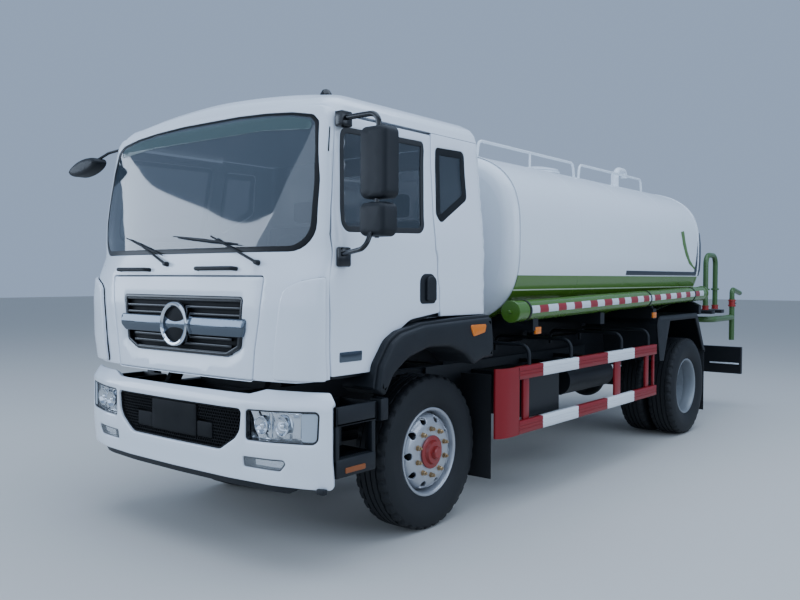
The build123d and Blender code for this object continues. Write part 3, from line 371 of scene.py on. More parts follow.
def plane(axis: str, level: float, facing: int = 1) -> Surface:
    """A flat surface square to an axis, with the other two axes as its coordinates.

    Args:
        axis: X, Y or Z.
        level: where it is along that axis.
        facing: +1 or -1 for the way its outside looks.

    Returns:
        The surface.
    """
    own = "XYZ".index(axis)
    others = [k for k in range(3) if k != own]

    def surface(a: Array, b: Array) -> tuple[Array, Array]:
        """Points and outward normals."""
        points = np.zeros((len(a), 3))
        points[:, own], points[:, others[0]], points[:, others[1]] = level, a, b
        normal = np.zeros((len(a), 3))
        normal[:, own] = facing
        return points, normal

    return surface


@dataclass
class Skin:
    """A curved outer surface with two coordinates, which may stand proud or sunk and carry relief."""

    push: float = 0.0
    relief: Relief | None = None
    span: float = 2.0

    def place(self, a: Array, b: Array) -> Array:
        """Points of the skin."""
        raise NotImplementedError

    def __call__(self, a: Array, b: Array) -> tuple[Array, Array]:
        """Points and outward normals, with the relief and push added."""
        a, b = np.asarray(a, float), np.asarray(b, float)
        across = self.place(a + self.span, b) - self.place(a - self.span, b)
        normal = unit(np.cross(across, self.place(a, b + 2) - self.place(a, b - 2)))
        raised = self.push + (self.relief(a, b) if self.relief else 0)
        return self.place(a, b) + normal * np.broadcast_to(raised, a.shape)[:, None], normal


def block(x0: float, x1: float, y0: float, y1: float, z0: float, z1: float, edge: float = 4.0) -> Form:
    """A block with rounded edges between two opposite corners."""
    mesh = bmesh.new()
    bmesh.ops.create_cube(mesh, size=1)
    size = np.abs([x1 - x0, y1 - y0, z1 - z0])
    middle = np.array([x0 + x1, y0 + y1, z0 + z1]) / 2
    for vert in mesh.verts:
        vert.co = Vector(np.array(vert.co) * size)
    bmesh.ops.bevel(mesh, geom=list(mesh.edges), offset=min(edge, float(size.min()) * 0.3), segments=2, profile=0.5,
                    affect="EDGES")
    points = np.array([v.co for v in mesh.verts]) + middle
    faces = [tuple(v.index for v in face.verts) for face in mesh.faces]
    mesh.free()
    return Form(points, faces)


def path_line(points: Sequence[Point], bend: float, step: float = 15.0) -> Array:
    """A line through straight runs with its corners rounded to a radius."""
    line = [points[0]]
    for before, here, after in zip(points, points[1:], points[2:]):
        line += arc(before, here, after, bend, step, 3)
    return np.array([*line, points[-1]], float)


def tube(points: Sequence[Point], radius: float | Sequence[float], bend: float = 60.0, sides: int = 20) -> Form:
    """A round bar or pipe along straight runs and tangent bends, with closed ends.

    Args:
        points: the corners of its run.
        radius: its radius, or the radius at each point of a run without bends.
        bend: the radius of its bends.
        sides: the number of faces round it.

    Returns:
        The closed form.
    """
    line = np.array(points, float) if isinstance(radius, Sequence) else path_line(points, bend)
    radii = np.broadcast_to(np.array(radius, float), len(line))
    runs = unit(np.diff(line, axis=0))
    tangents = unit(np.vstack([runs[:1], (runs[1:] + runs[:-1]) / 2, runs[-1:]]))
    side = np.cross(tangents[0], (0.31, 0.17, 0.93))
    rings = []
    angles = turns(sides)
    for place, tangent, size in zip(line, tangents, radii):
        side = side - tangent * (side @ tangent)
        side /= np.linalg.norm(side)
        over = np.cross(tangent, side)
        rings.append(place + size * (np.cos(angles)[:, None] * side + np.sin(angles)[:, None] * over))
    return grid(np.array(rings), True)


def lathe(profile: Outline, centre: Point, axis: str = "Y", sides: int = 64,
          waves: Callable[[Array, int], Array] | None = None) -> Form:
    """A body turned about an axis.

    Args:
        profile: (along the axis, radius) pairs. It joins its own start, or is filled where it ends on the axis.
        centre: the point of the axis that the profile measures from.
        axis: X, Y or Z.
        sides: the number of faces round it.
        waves: the change of radius round the body for each row, if it isn't plain.

    Returns:
        The closed form.
    """
    angles = turns(sides)
    own = "XYZ".index(axis)
    first, second = (own + 1) % 3, (own + 2) % 3
    rings = []
    closed = profile[-1][1] > 0.1
    rows = list(profile) + ([profile[0]] if closed else [])
    for row, (along, radius) in enumerate(rows):
        size = radius + (waves(angles, row % len(profile)) if waves else 0)
        ring = np.zeros((sides, 3))
        ring[:, own] = along
        ring[:, first], ring[:, second] = size * np.cos(angles), size * np.sin(angles)
        rings.append(ring + centre)
    return grid(np.array(rings), True, caps=not closed)


# ---- finishes ----
class Texture(Enum):
    """How a surface was made, which sets its fine pattern."""

    SPRAYED = "sprayed"
    MOULDED = "moulded"
    CAST = "cast"
    RUBBER = "rubber"
    BRUSHED = "brushed"
    WOVEN = "woven"
    CLEAR = "clear"


@dataclass(frozen=True)
class Grain:
    """A texture's fine relief: its size and depth, both in millimetres, and how much the gloss wanders."""

    size: float
    depth: float
    wander: float


GRAINS = {Texture.SPRAYED: Grain(3, 0.02, 0.05), Texture.MOULDED: Grain(1.6, 0.12, 0.12),
          Texture.CAST: Grain(2.5, 0.4, 0.15), Texture.RUBBER: Grain(4, 0.25, 0.12),
          Texture.BRUSHED: Grain(1.2, 0.04, 0.14), Texture.WOVEN: Grain(2.2, 0.6, 0.05),
          Texture.CLEAR: Grain(60, 0, 0.01)}


def linear(code: str) -> tuple[float, float, float, float]:
    """Turn an sRGB hex colour into Blender's linear colour."""
    parts = [int(code.lstrip("#")[k:k + 2], 16) / 255 for k in (0, 2, 4)]
    return (*(p / 12.92 if p <= 0.04045 else ((p + 0.055) / 1.055) ** 2.4 for p in parts), 1)


def add(tree: NodeTree, kind: str, inputs: dict | None = None, **settings) -> Node:
    """Add a node with its settings and links.

    Args:
        tree: the node tree.
        kind: the node's type.
        inputs: values for its sockets by name or index; an output socket is linked.
        settings: the node's own properties.

    Returns:
        The node.
    """
    node = tree.nodes.new(kind)
    for key, value in settings.items():
        setattr(node, key, value)
    for key, value in (inputs or {}).items():
        if isinstance(value, NodeSocket):
            tree.links.new(value, node.inputs[key])
        else:
            node.inputs[key].default_value = value
    return node


def mixed(tree: NodeTree, share: object, first: object, second: object) -> NodeSocket:
    """A mix of two colours, by sockets or values; the RGBA sockets of the node are its 7th and 8th."""
    return add(tree, "ShaderNodeMix", {0: share, 6: first, 7: second}, data_type="RGBA").outputs[2]


@dataclass(frozen=True)
class Finish:
    """One finish: what it is, its colour and how it shines."""

    name: str
    colour: str
    texture: Texture = Texture.MOULDED
    rough: float = 0.4
    metal: float = 0.0
    coat: float = 0.0
    ior: float = 1.5
    clear: float = 1.0
    glow: float = 0.0
    gleam: float = 0.5
    mottle: float = 0.06
    dust: str = ""
    dust_from: float = 0.0
    dust_to: float = 0.0
    slot: str = "black_plastic"

    def tint(self, tree: NodeTree, place: NodeSocket) -> NodeSocket | None:
        """The colour as a socket where it changes over the surface, or None where it is plain."""
        return None

    def material(self) -> Material:
        """Build the finish's material, or return it if it is there."""
        if self.name in bpy.data.materials:
            return bpy.data.materials[self.name]
        material = bpy.data.materials.new(self.name)
        material.use_nodes = True
        tree = material.node_tree
        tree.nodes.clear()
        grain = GRAINS[self.texture]
        place = add(tree, "ShaderNodeTexCoord").outputs["Object"]
        stretch = (1, 0.06, 1) if self.texture is Texture.BRUSHED else (1, 1, 1)
        mapped = add(tree, "ShaderNodeMapping", {"Vector": place, "Scale": stretch}).outputs["Vector"]
        fine = add(tree, "ShaderNodeTexNoise", {"Vector": mapped, "Scale": 1 / (grain.size * MM), "Detail": 2})
        broad = add(tree, "ShaderNodeTexNoise", {"Vector": place, "Scale": 4, "Detail": 3})
        base = self.tint(tree, place) or linear(self.colour)
        dark = mixed(tree, self.mottle, base, linear("#101010"))
        colour = mixed(tree, broad.outputs["Fac"], dark, base)
        if self.dust:
            height = add(tree, "ShaderNodeSeparateXYZ", {"Vector": place}).outputs["Z"]
            low = add(tree, "ShaderNodeMapRange", {"Value": height, "From Min": self.dust_to * MM,
                      "From Max": self.dust_from * MM, "To Min": 0, "To Max": 0.3})
            patchy = add(tree, "ShaderNodeMath", {0: low.outputs["Result"], 1: broad.outputs["Fac"]},
                         operation="MULTIPLY")
            colour = mixed(tree, patchy.outputs["Value"], colour, linear(self.dust))
        shine = add(tree, "ShaderNodeMapRange", {"Value": broad.outputs["Fac"],
                    "To Min": max(self.rough - grain.wander, 0.02), "To Max": self.rough + grain.wander})
        inputs = {"Base Color": colour, "Roughness": shine.outputs["Result"], "Metallic": self.metal,
                  "Coat Weight": self.coat, "Coat Roughness": 0.04, "Alpha": self.clear,
                  "Specular IOR Level": self.gleam}
        if self.metal < 0.5:
            inputs["IOR"] = self.ior
        if grain.depth:
            bump = add(tree, "ShaderNodeBump", {"Height": fine.outputs["Fac"], "Distance": grain.depth * MM,
                       "Strength": 0.6})
            inputs["Normal"] = bump.outputs["Normal"]
        if self.glow:
            inputs["Emission Color"], inputs["Emission Strength"] = linear(self.colour), self.glow
        shader = add(tree, "ShaderNodeBsdfPrincipled", inputs)
        add(tree, "ShaderNodeOutputMaterial", {"Surface": shader.outputs["BSDF"]})
        return material


@dataclass(frozen=True)
class Banded(Finish):
    """A finish painted in bands across one axis: each stop is where a colour starts, in millimetres."""

    axis: str = "Z"
    stops: tuple[tuple[float, str], ...] = ()

    def tint(self, tree: NodeTree, place: NodeSocket) -> NodeSocket:
        """The band's colour at each place."""
        low, high = self.stops[0][0] - 1000, self.stops[-1][0] + 1000
        shift = AXLE_X if self.axis == "X" else 0
        value = add(tree, "ShaderNodeSeparateXYZ", {"Vector": place}).outputs[self.axis]
        share = add(tree, "ShaderNodeMapRange", {"Value": value, "From Min": low * MM + shift,
                    "From Max": high * MM + shift})
        ramp = add(tree, "ShaderNodeValToRGB", {"Fac": share.outputs["Result"]})
        ramp.color_ramp.interpolation = "CONSTANT"
        for index, (start, colour) in enumerate(self.stops):
            at = 0 if index == 0 else (start - low) / (high - low)
            stop = ramp.color_ramp.elements[0] if index == 0 else ramp.color_ramp.elements.new(at)
            stop.position, stop.color = at, linear(colour)
        ramp.color_ramp.elements.remove(ramp.color_ramp.elements[len(self.stops)])
        return ramp.outputs["Color"]


# two-pack gloss enamel sprayed over steel: a clear wet shine with a faint orange peel
CAB_WHITE = Finish("cab_white_enamel", "#E6EBF2", Texture.SPRAYED, 0.2, coat=0.35, mottle=0.015, slot="cab_white")
# the green below the thin line is the upper band's green painted darker: painted shade on the tank's lower side, where
# it turns under
TANK_PAINT = Banded("tank_enamel_white_over_green_painted_shade_low", "#E6EBF2", Texture.SPRAYED, 0.22, coat=0.3, mottle=0.02, axis="Z",
                    stops=((1200, "#44661F"), (1603, "#D5DEC6"), (1617, "#4E7428"), (1722, "#E4EAF0")),
                    slot="tank_white")
HEAD_WHITE = Finish("tank_head_enamel", "#E4EAF0", Texture.SPRAYED, 0.24, coat=0.3, mottle=0.03, slot="tank_white")
# single-coat enamels on the tubes and pipes: duller than the tank, and mottled by handling
GREEN_PAINT = Finish("green_enamel", "#456B20", Texture.SPRAYED, 0.26, coat=0.15, mottle=0.06, slot="tank_green")
PIPE_GREEN = Finish("pipe_enamel_green", "#3F6130", Texture.SPRAYED, 0.32, coat=0.1, mottle=0.08, slot="tank_green")
# cast vinyl film: one flat colour with an even, low shine
DARK_STRIPE = Finish("dark_vinyl_stripe", "#232B36", Texture.SPRAYED, 0.3, slot="tank_white")
GREEN_STRIPE = Finish("green_vinyl_stripe", "#4E7428", Texture.SPRAYED, 0.3, slot="tank_green")
# brushed-on road enamel over rolled bars, with masked white bands: half matt
GUARD_PAINT = Banded("guard_enamel_red_and_white", "#84101A", Texture.SPRAYED, 0.36, gleam=0.35, mottle=0.05, axis="X",
                     stops=((-3600, "#84101A"), (-2930, "#DDE2E6"), (-2344, "#84101A"), (-1774, "#DDE2E6"),
                     (-1185, "#84101A")), slot="guard_red")
GUARD_RED = Finish("guard_enamel_red", "#84101A", Texture.SPRAYED, 0.36, gleam=0.35, mottle=0.05, slot="guard_red")
RAIL_WHITE = Finish("handrail_enamel_white", "#DFE5EB", Texture.SPRAYED, 0.25, coat=0.3, slot="tank_white")
VALVE_RED = Finish("valve_enamel_red", "#96201C", Texture.SPRAYED, 0.35, slot="tank_green")
# chassis black: thick satin paint on rolled steel, greyed with road dust low down
CHASSIS_BLACK = Finish("chassis_paint_black", "#0E1116", Texture.SPRAYED, 0.45, gleam=0.35, dust="#43413D",
                       dust_from=200, dust_to=900, slot="chassis_black")
# injection-moulded plastics: textured and dull, gloss ABS on trim, near-dead black in meshes
PLASTIC_BLACK = Finish("moulded_pp_black", "#12161B", Texture.MOULDED, 0.5, ior=1.49, gleam=0.35, mottle=0.1)
GLOSS_BLACK = Finish("gloss_abs_black", "#0A0D12", Texture.MOULDED, 0.2, ior=1.53)
MESH_BLACK = Finish("moulded_mesh_black", "#05070A", Texture.MOULDED, 0.6, gleam=0.2)
# vacuum metallised plastic, a little smoked on the wide bar
SATIN_CHROME = Finish("satin_chrome_on_abs", "#646C75", Texture.BRUSHED, 0.13, metal=1, mottle=0.04)
CHROME = Finish("bright_chrome", "#D3D8DE", Texture.CLEAR, 0.06, metal=1, mottle=0.02)
# vulcanised rubber: matt, slightly pebbled, and dusty towards the road
RUBBER = Finish("tyre_rubber", "#101317", Texture.RUBBER, 0.66, ior=1.52, gleam=0.35, mottle=0.15, dust="#3B3C3D",
                dust_from=0, dust_to=1000, slot="tyre")
SEAL_RUBBER = Finish("window_seal_rubber", "#090B0E", Texture.RUBBER, 0.5)
# pressed steel wheels: silver enamel with fine metal flake in front, and worn grey behind
WHEEL_SILVER = Finish("wheel_enamel_silver", "#AEB1B7", Texture.SPRAYED, 0.32, metal=0.55, coat=0.2, mottle=0.1,
                      slot="wheel_silver")
WHEEL_GREY = Finish("wheel_enamel_grey", "#8B9095", Texture.SPRAYED, 0.42, metal=0.35, mottle=0.15, slot="wheel_silver")
HUB_RED = Finish("hub_enamel_red", "#8C2422", Texture.SPRAYED, 0.32, coat=0.2, slot="wheel_silver")
# bare metals: yellow zinc plate on nuts, drawn and rolled stock with a lengthwise grain, rough sand castings
NUT_GOLD = Finish("zinc_passivated_steel", "#B59C78", Texture.BRUSHED, 0.3, metal=1, slot="wheel_silver")
STEEL = Finish("drawn_steel", "#7E8082", Texture.BRUSHED, 0.35, metal=1, slot="steel")
CAST_GREY = Finish("cast_iron_grey", "#383B3F", Texture.CAST, 0.55, metal=0.6, slot="wheel_silver")
ALLOY = Finish("rolled_aluminium", "#6F747A", Texture.BRUSHED, 0.36, metal=1, slot="steel")
# laminated glass with a pale sky sheen on its face; thin enough to see the seats through
GLASS = Finish("laminated_glass", "#3E4953", Texture.CLEAR, 0.03, ior=1.52, clear=0.6, coat=1, gleam=1, mottle=0,
               slot="glass")
DOOR_GLASS = Finish("door_glass", "#1E2A33", Texture.CLEAR, 0.03, ior=1.52, clear=0.5, coat=0.6, gleam=1, mottle=0,
                    slot="glass")
# printed glass edges: a tinted film at the top and a matt fired enamel border
SUN_BAND = Finish("sun_band_film", "#5B6F70", Texture.CLEAR, 0.06, ior=1.52, clear=0.45, mottle=0, slot="glass")
FRIT = Finish("ceramic_frit_black", "#05070A", Texture.CLEAR, 0.35, ior=1.52, gleam=0.25, slot="glass")
# moulded lamp plastics: clear and frosted polycarbonate, and coloured acrylic that glows a little in daylight
LENS = Finish("polycarbonate_lens", "#E9EEF2", Texture.CLEAR, 0.04, ior=1.58, clear=0.1, mottle=0, slot="lamp_clear")
LENS_FROST = Finish("frosted_polycarbonate", "#B9C4CE", Texture.CLEAR, 0.25, ior=1.58, clear=0.8, mottle=0,
                    slot="lamp_clear")
AMBER = Finish("amber_acrylic", "#D0701A", Texture.CLEAR, 0.14, ior=1.49, glow=0.08, slot="lamp_red")
STEP_AMBER = Finish("weathered_amber_acrylic", "#8E4A18", Texture.CLEAR, 0.3, ior=1.49, mottle=0.2, slot="lamp_red")
LAMP_RED = Finish("red_acrylic", "#7E1512", Texture.CLEAR, 0.14, ior=1.49, slot="lamp_red")
# silvered glass
MIRROR_FACE = Finish("mirror_glass", "#C7CFD4", Texture.CLEAR, 0.02, metal=1, mottle=0)
# inside the cab: grained plastic, and woven cloth drawn coarse enough to show
INTERIOR = Finish("interior_pp_grey", "#3D4144", Texture.MOULDED, 0.6, slot="interior_grey")
CLOTH = Finish("seat_cloth_charcoal", "#2E3033", Texture.WOVEN, 0.85, mottle=0.2, slot="seat_cloth")
# prismatic tape: red and white lengths with a waxy shine
TAPE = Banded("reflective_tape", "#8E1C24", Texture.CLEAR, 0.3, axis="X", mottle=0.03,
              stops=tuple((start - 290 * k, colour) for k in range(12, -2, -1)
                          for start, colour in ((-1422, "#C9CFD4"), (-1277, "#8E1C24"))), slot="tank_green")


# ---- pieces ----
def solid(name: str, form: Form, finish: Finish, crease: float = 35.0) -> Object:
    """Turn a form into a mesh object with its finish.

    Args:
        name: the object's name.
        form: its points and faces.
        finish: its finish.
        crease: edges sharper than this many degrees stay sharp.

    Returns:
        The object, not yet on any body.
    """
    mesh = bpy.data.meshes.new(name)
    mesh.from_pydata((form.points * MM + (AXLE_X, 0, 0)).tolist(), [], [list(face) for face in form.faces])
    mesh.validate()
    mesh.polygons.foreach_set("use_smooth", [True] * len(mesh.polygons))
    mesh.set_sharp_from_angle(angle=math.radians(crease))
    mesh.materials.append(finish.material())
    made = bpy.data.objects.new(name, mesh)
    bpy.context.scene.collection.objects.link(made)
    return made


def seat(made: Object, body: str, nodes: Sequence[str]) -> Object:
    """Put a finished object on its body and the CAD nodes that it stands for."""
    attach(made, body)
    if nodes:
        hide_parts(*nodes)
    LOG.info("%s: %d faces on %s", made.name, len(made.data.polygons), body)
    return made


def piece(name: str, form: Form, finish: Finish, *nodes: str, body: str = "chassis", slot: str = "",
          crease: float = 35.0) -> Object:
    """Turn a form into a finished object that rides a body.

    Args:
        name: the object's name.
        form: its points and faces.
        finish: its finish.
        nodes: the CAD nodes that it stands for.
        body: the body that carries it.
        slot: the record's material slot, if it isn't the finish's usual one; not used.
        crease: edges sharper than this many degrees stay sharp.

    Returns:
        The object.
    """
    return seat(solid(name, form, finish, crease), body, nodes)


def repeat_tree() -> NodeTree:
    """A Geometry Nodes tree that repeats its own piece along a row, round a ring or both.

    Returns:
        The tree, with inputs for the count, the step, the turn, its centre and the material.
    """
    name = "repeat"
    if name in bpy.data.node_groups:
        return bpy.data.node_groups[name]
    tree = bpy.data.node_groups.new(name, "GeometryNodeTree")
    for label, kind in (("Piece", "Geometry"), ("Count", "Int"), ("Step", "Vector"), ("Turn", "Vector"),
                        ("Centre", "Vector"), ("Material", "Material")):
        tree.interface.new_socket(label, in_out="INPUT", socket_type=f"NodeSocket{kind}")
    tree.interface.new_socket("Pieces", in_out="OUTPUT", socket_type="NodeSocketGeometry")
    given = add(tree, "NodeGroupInput").outputs
    index = add(tree, "GeometryNodeInputIndex").outputs["Index"]
    way = add(tree, "ShaderNodeVectorMath", {0: given["Turn"], "Scale": index}, operation="SCALE")
    back = add(tree, "ShaderNodeVectorMath", {0: given["Centre"], "Scale": -1.0}, operation="SCALE")
    homed = add(tree, "GeometryNodeTransform", {"Geometry": given["Piece"], "Translation": back.outputs["Vector"]})
    line = add(tree, "GeometryNodeMeshLine", {"Count": given["Count"], "Start Location": given["Centre"],
               "Offset": given["Step"]})
    copies = add(tree, "GeometryNodeInstanceOnPoints", {"Points": line.outputs["Mesh"],
                 "Instance": homed.outputs["Geometry"], "Rotation": way.outputs["Vector"]})
    joined = add(tree, "GeometryNodeRealizeInstances", {"Geometry": copies.outputs["Instances"]})
    painted = add(tree, "GeometryNodeSetMaterial", {"Geometry": joined.outputs["Geometry"],
                  "Material": given["Material"]})
    add(tree, "NodeGroupOutput", {"Pieces": painted.outputs["Geometry"]})
    return tree


def repeated(name: str, form: Form, finish: Finish, count: int, step: Point = (0.0, 0.0, 0.0),
             turn: Point = (0.0, 0.0, 0.0), centre: Point = (0.0, 0.0, 0.0), body: str = "chassis") -> Object:
    """Repeat a form with Geometry Nodes and keep the result as one plain piece.

    Args:
        name: the object's name.
        form: one of the repeated things, in the first one's place.
        finish: its finish.
        count: how many.
        step: from one to the next, in millimetres.
        turn: from one to the next about each axis, in degrees.
        centre: the point that they turn about.
        body: the body that carries it.

    Returns:
        The object.
    """
    made = solid(name, form, finish)
    tree = repeat_tree()
    modifier = made.modifiers.new("repeat", "NODES")
    modifier.node_group = tree
    sockets = {item.name: item.identifier for item in tree.interface.items_tree if item.in_out == "INPUT"}
    values = {"Count": count, "Step": [s * MM for s in step], "Turn": [math.radians(t) for t in turn],
              "Centre": [centre[0] * MM + AXLE_X, centre[1] * MM, centre[2] * MM]}
    for label, value in values.items():
        modifier[sockets[label]] = value
    modifier[sockets["Material"]] = finish.material()
    bpy.context.view_layer.update()
    mesh = bpy.data.meshes.new_from_object(made.evaluated_get(bpy.context.evaluated_depsgraph_get()))
    made.modifiers.remove(modifier)
    made.data = mesh
    mesh.name = name
    return seat(made, body, ())


# ---- cab ----
SECTIONS = np.array([
    # height, half-width, front at the middle, rear, corner radius, bow of the front
    (1060, 1140, 1286, -500, 160, 80), (1300, 1146, 1289, -500, 150, 60), (1550, 1150, 1290, -500, 150, 60),
    (1700, 1150, 1283, -500, 150, 66), (1850, 1150, 1268, -500, 165, 98), (1960, 1148, 1242, -500, 150, 82),
    (2100, 1134, 1206, -500, 128, 58), (2290, 1115, 1158, -500, 108, 40), (2450, 1100, 1117, -500, 84, 28),
    (2620, 1085, 1075, -500, 66, 20), (2665, 1080, 1062, -500, 64, 20), (2760, 1050, 1020, -500, 90, 24)], float)
ROOF_SECTIONS = np.array([(2665, 1076, 1034, -500, 70, 20), (2718, 1060, 1026, -497, 84, 22),
    (2760, 1028, 1000, -490, 105, 26), (2800, 955, 930, -462, 140, 30), (2822, 860, 850, -420, 165, 28),
    (2836, 740, 740, -370, 190, 22), (2843, 560, 560, -260, 200, 16)], float)
KNEE_U = 1000
CORNER_U = 1230
REAR_ROUND = 40


@dataclass
class CabSkin(Skin):
    """The cab's outer skin. Its first coordinate runs from the middle of the front, round the corner and back along
    the side; its second is the height."""

    sections: Array = field(default_factory=lambda: SECTIONS)

    def sizes(self, z: Array) -> list[Array]:
        """Half-width, front, rear, corner and bow at each height, smoothed over the sections."""
        table = self.sections
        low, high = table[0, 0], table[-1, 0]
        fine = np.linspace(low - 20, high + 20, 600)
        result = []
        for column in (1, 2, 3, 4, 5):
            values = np.interp(fine, table[:, 0], table[:, column])
            kernel = np.hanning(31)
            padded = np.pad(values, 15, mode="reflect", reflect_type="odd")
            result.append(np.interp(z, fine, np.convolve(padded, kernel / kernel.sum(), "valid")))
        return result

    def place(self, u: Array, z: Array) -> Array:
        """Points of the skin."""
        u, z = np.asarray(u, float), np.asarray(z, float)
        half, front, rear, corner, bow = self.sizes(z)
        side, a = np.where(u < 0, -1, 1), np.abs(u)
        knee_y, knee_x = half - corner, front - bow
        side_x = knee_x - corner * 0.9
        share = np.minimum(a / KNEE_U, 1)
        x, y = front - bow * share ** 4, knee_y * share
        t = np.clip((a - KNEE_U) / (CORNER_U - KNEE_U), 0, 1)
        lead = np.stack([-4 * bow, knee_y]) / np.hypot(4 * bow, knee_y) * corner * 0.55
        p0, p3 = np.stack([knee_x, knee_y]), np.stack([side_x, half])
        p1, p2 = p0 + lead, p3 + np.stack([corner * 0.5, np.zeros_like(corner)])
        bend = p0 * (1 - t) ** 3 + 3 * p1 * t * (1 - t) ** 2 + 3 * p2 * t ** 2 * (1 - t) + p3 * t ** 3
        x, y = np.where(a > KNEE_U, bend[0], x), np.where(a > KNEE_U, bend[1], y)
        run = a - CORNER_U
        straight = side_x - rear - REAR_ROUND
        x = np.where(run > 0, side_x - run, x)
        arc = np.clip((run - straight) / REAR_ROUND, 0, math.pi / 2)
        x = np.where(run > straight, rear + REAR_ROUND - REAR_ROUND * np.sin(arc), x)
        y = np.where(run > straight, half - REAR_ROUND + REAR_ROUND * np.cos(arc), y)
        beyond = run - straight - REAR_ROUND * math.pi / 2
        y = np.where(beyond > 0, half - REAR_ROUND - beyond, y)
        return np.stack([x, side * y, z], 1)

    def front(self, y: float, z: float) -> Pair:
        """The skin's coordinates at an offset and height of the front."""
        way = np.linspace(0, CORNER_U, 124)
        return float(np.interp(abs(y), self.place(way, np.full(124, z))[:, 1], way)) * (1 if y > 0 else -1), z

    def side(self, x: float, z: float) -> Pair:
        """The skin's coordinates at a station and height of the left side."""
        _, front, _, corner, bow = (float(s[0]) for s in self.sizes(np.array([z])))
        return CORNER_U + (front - bow - corner * 0.9) - x, z


SKIN = CabSkin()


def on_front(loop: Iterable[Pair]) -> Loop:
    """An outline given as offsets and heights of the cab's front."""
    return [SKIN.front(*p) for p in loop]


def on_side(loop: Iterable[Pair]) -> Loop:
    """An outline given as stations and heights of the cab's left side."""
    return [SKIN.side(*p) for p in loop]


HALF_SCREEN = [(1070, 1853, 160), (1066, 2256, 400), (1013, 2606, 40), (960, 2650, 60), (780, 2684, 300),
               (560, 2704, 400), (280, 2717, 400)]
HALF_CLEAR = [(1034, 1886, 140), (1034, 2256, 400), (984, 2596, 30), (940, 2634, 40), (770, 2667, 300),
              (552, 2688, 400), (280, 2701, 400)]
SCREEN, CLEAR = ([*((-y, z, bend) for y, z, bend in reversed(half)), *half] for half in (HALF_SCREEN, HALF_CLEAR))
SUN_STRIP = [(-965, 2560), (-560, 2592), (560, 2592), (965, 2560), (955, 2616), (760, 2658), (400, 2682), (-400, 2682),
             (-760, 2658), (-955, 2616)]
FLAP = [(-765, 1711, 18), (765, 1711, 18), (733, 1459, 400), (699, 1284, 400), (676, 1108, 14), (-676, 1108, 14),
        (-699, 1284, 400), (-733, 1459, 400)]
GRILLE = [(-613, 1592, 26), (613, 1592, 26), (575, 1285, 30), (458, 1230, 40), (-458, 1230, 40), (-575, 1285, 30)]
DOOR = [(1088, 1142, 12), (1102, 1500, 300), (1092, 1960, 400), (1046, 2373, 400), (1000, 2648, 18), (84, 2648, 18),
        (118, 2050, 250), (112, 1900, 250), (70, 1640, 200), (59, 1475, 20), (375, 1440, 150), (585, 1325, 200),
        (722, 1170, 60), (762, 1142, 20)]
DOOR_WINDOW = [(1016, 1966, 70), (962, 2580, 70), (168, 2592, 70), (166, 2535, 60), (226, 1990, 70)]
QUARTER = [(38, 2574, 40), (-300, 2583, 40), (-296, 2247, 50), (36, 2062, 45), (85, 2126, 45)]
REAR_WINDOW = oblong(-560, 560, 2150, 2520, 30)
SEAM_TOP = 2662
HEADER = [(1215, 2668), (1130, 2684), (1000, 2702), (800, 2722), (560, 2738), (280, 2747)]
SHEET = 22
VANE = [(843, 1122), (869, 1350), (903, 1567), (918, 1624), (955, 1655), (1027, 1684)]


def grown(loop: Sequence[tuple[float, ...]], reach: float) -> Loop:
    """A rounded outline with its corners, drawn in by some millimetres, or out if negative."""
    points = densify(rounded(loop), 1000)
    return [tuple(p) for p in leftwards(points, reach if signed_area(points) > 0 else -reach)]


def ridge(line: Outline, lift: float, width: float) -> Callable[[Array], Array]:
    """A soft crease along a line: positive stands proud and negative sinks."""
    points = np.array(line, float)
    return lambda at: lift * smooth(1 - gap_to(at, points, closed=False) / width)


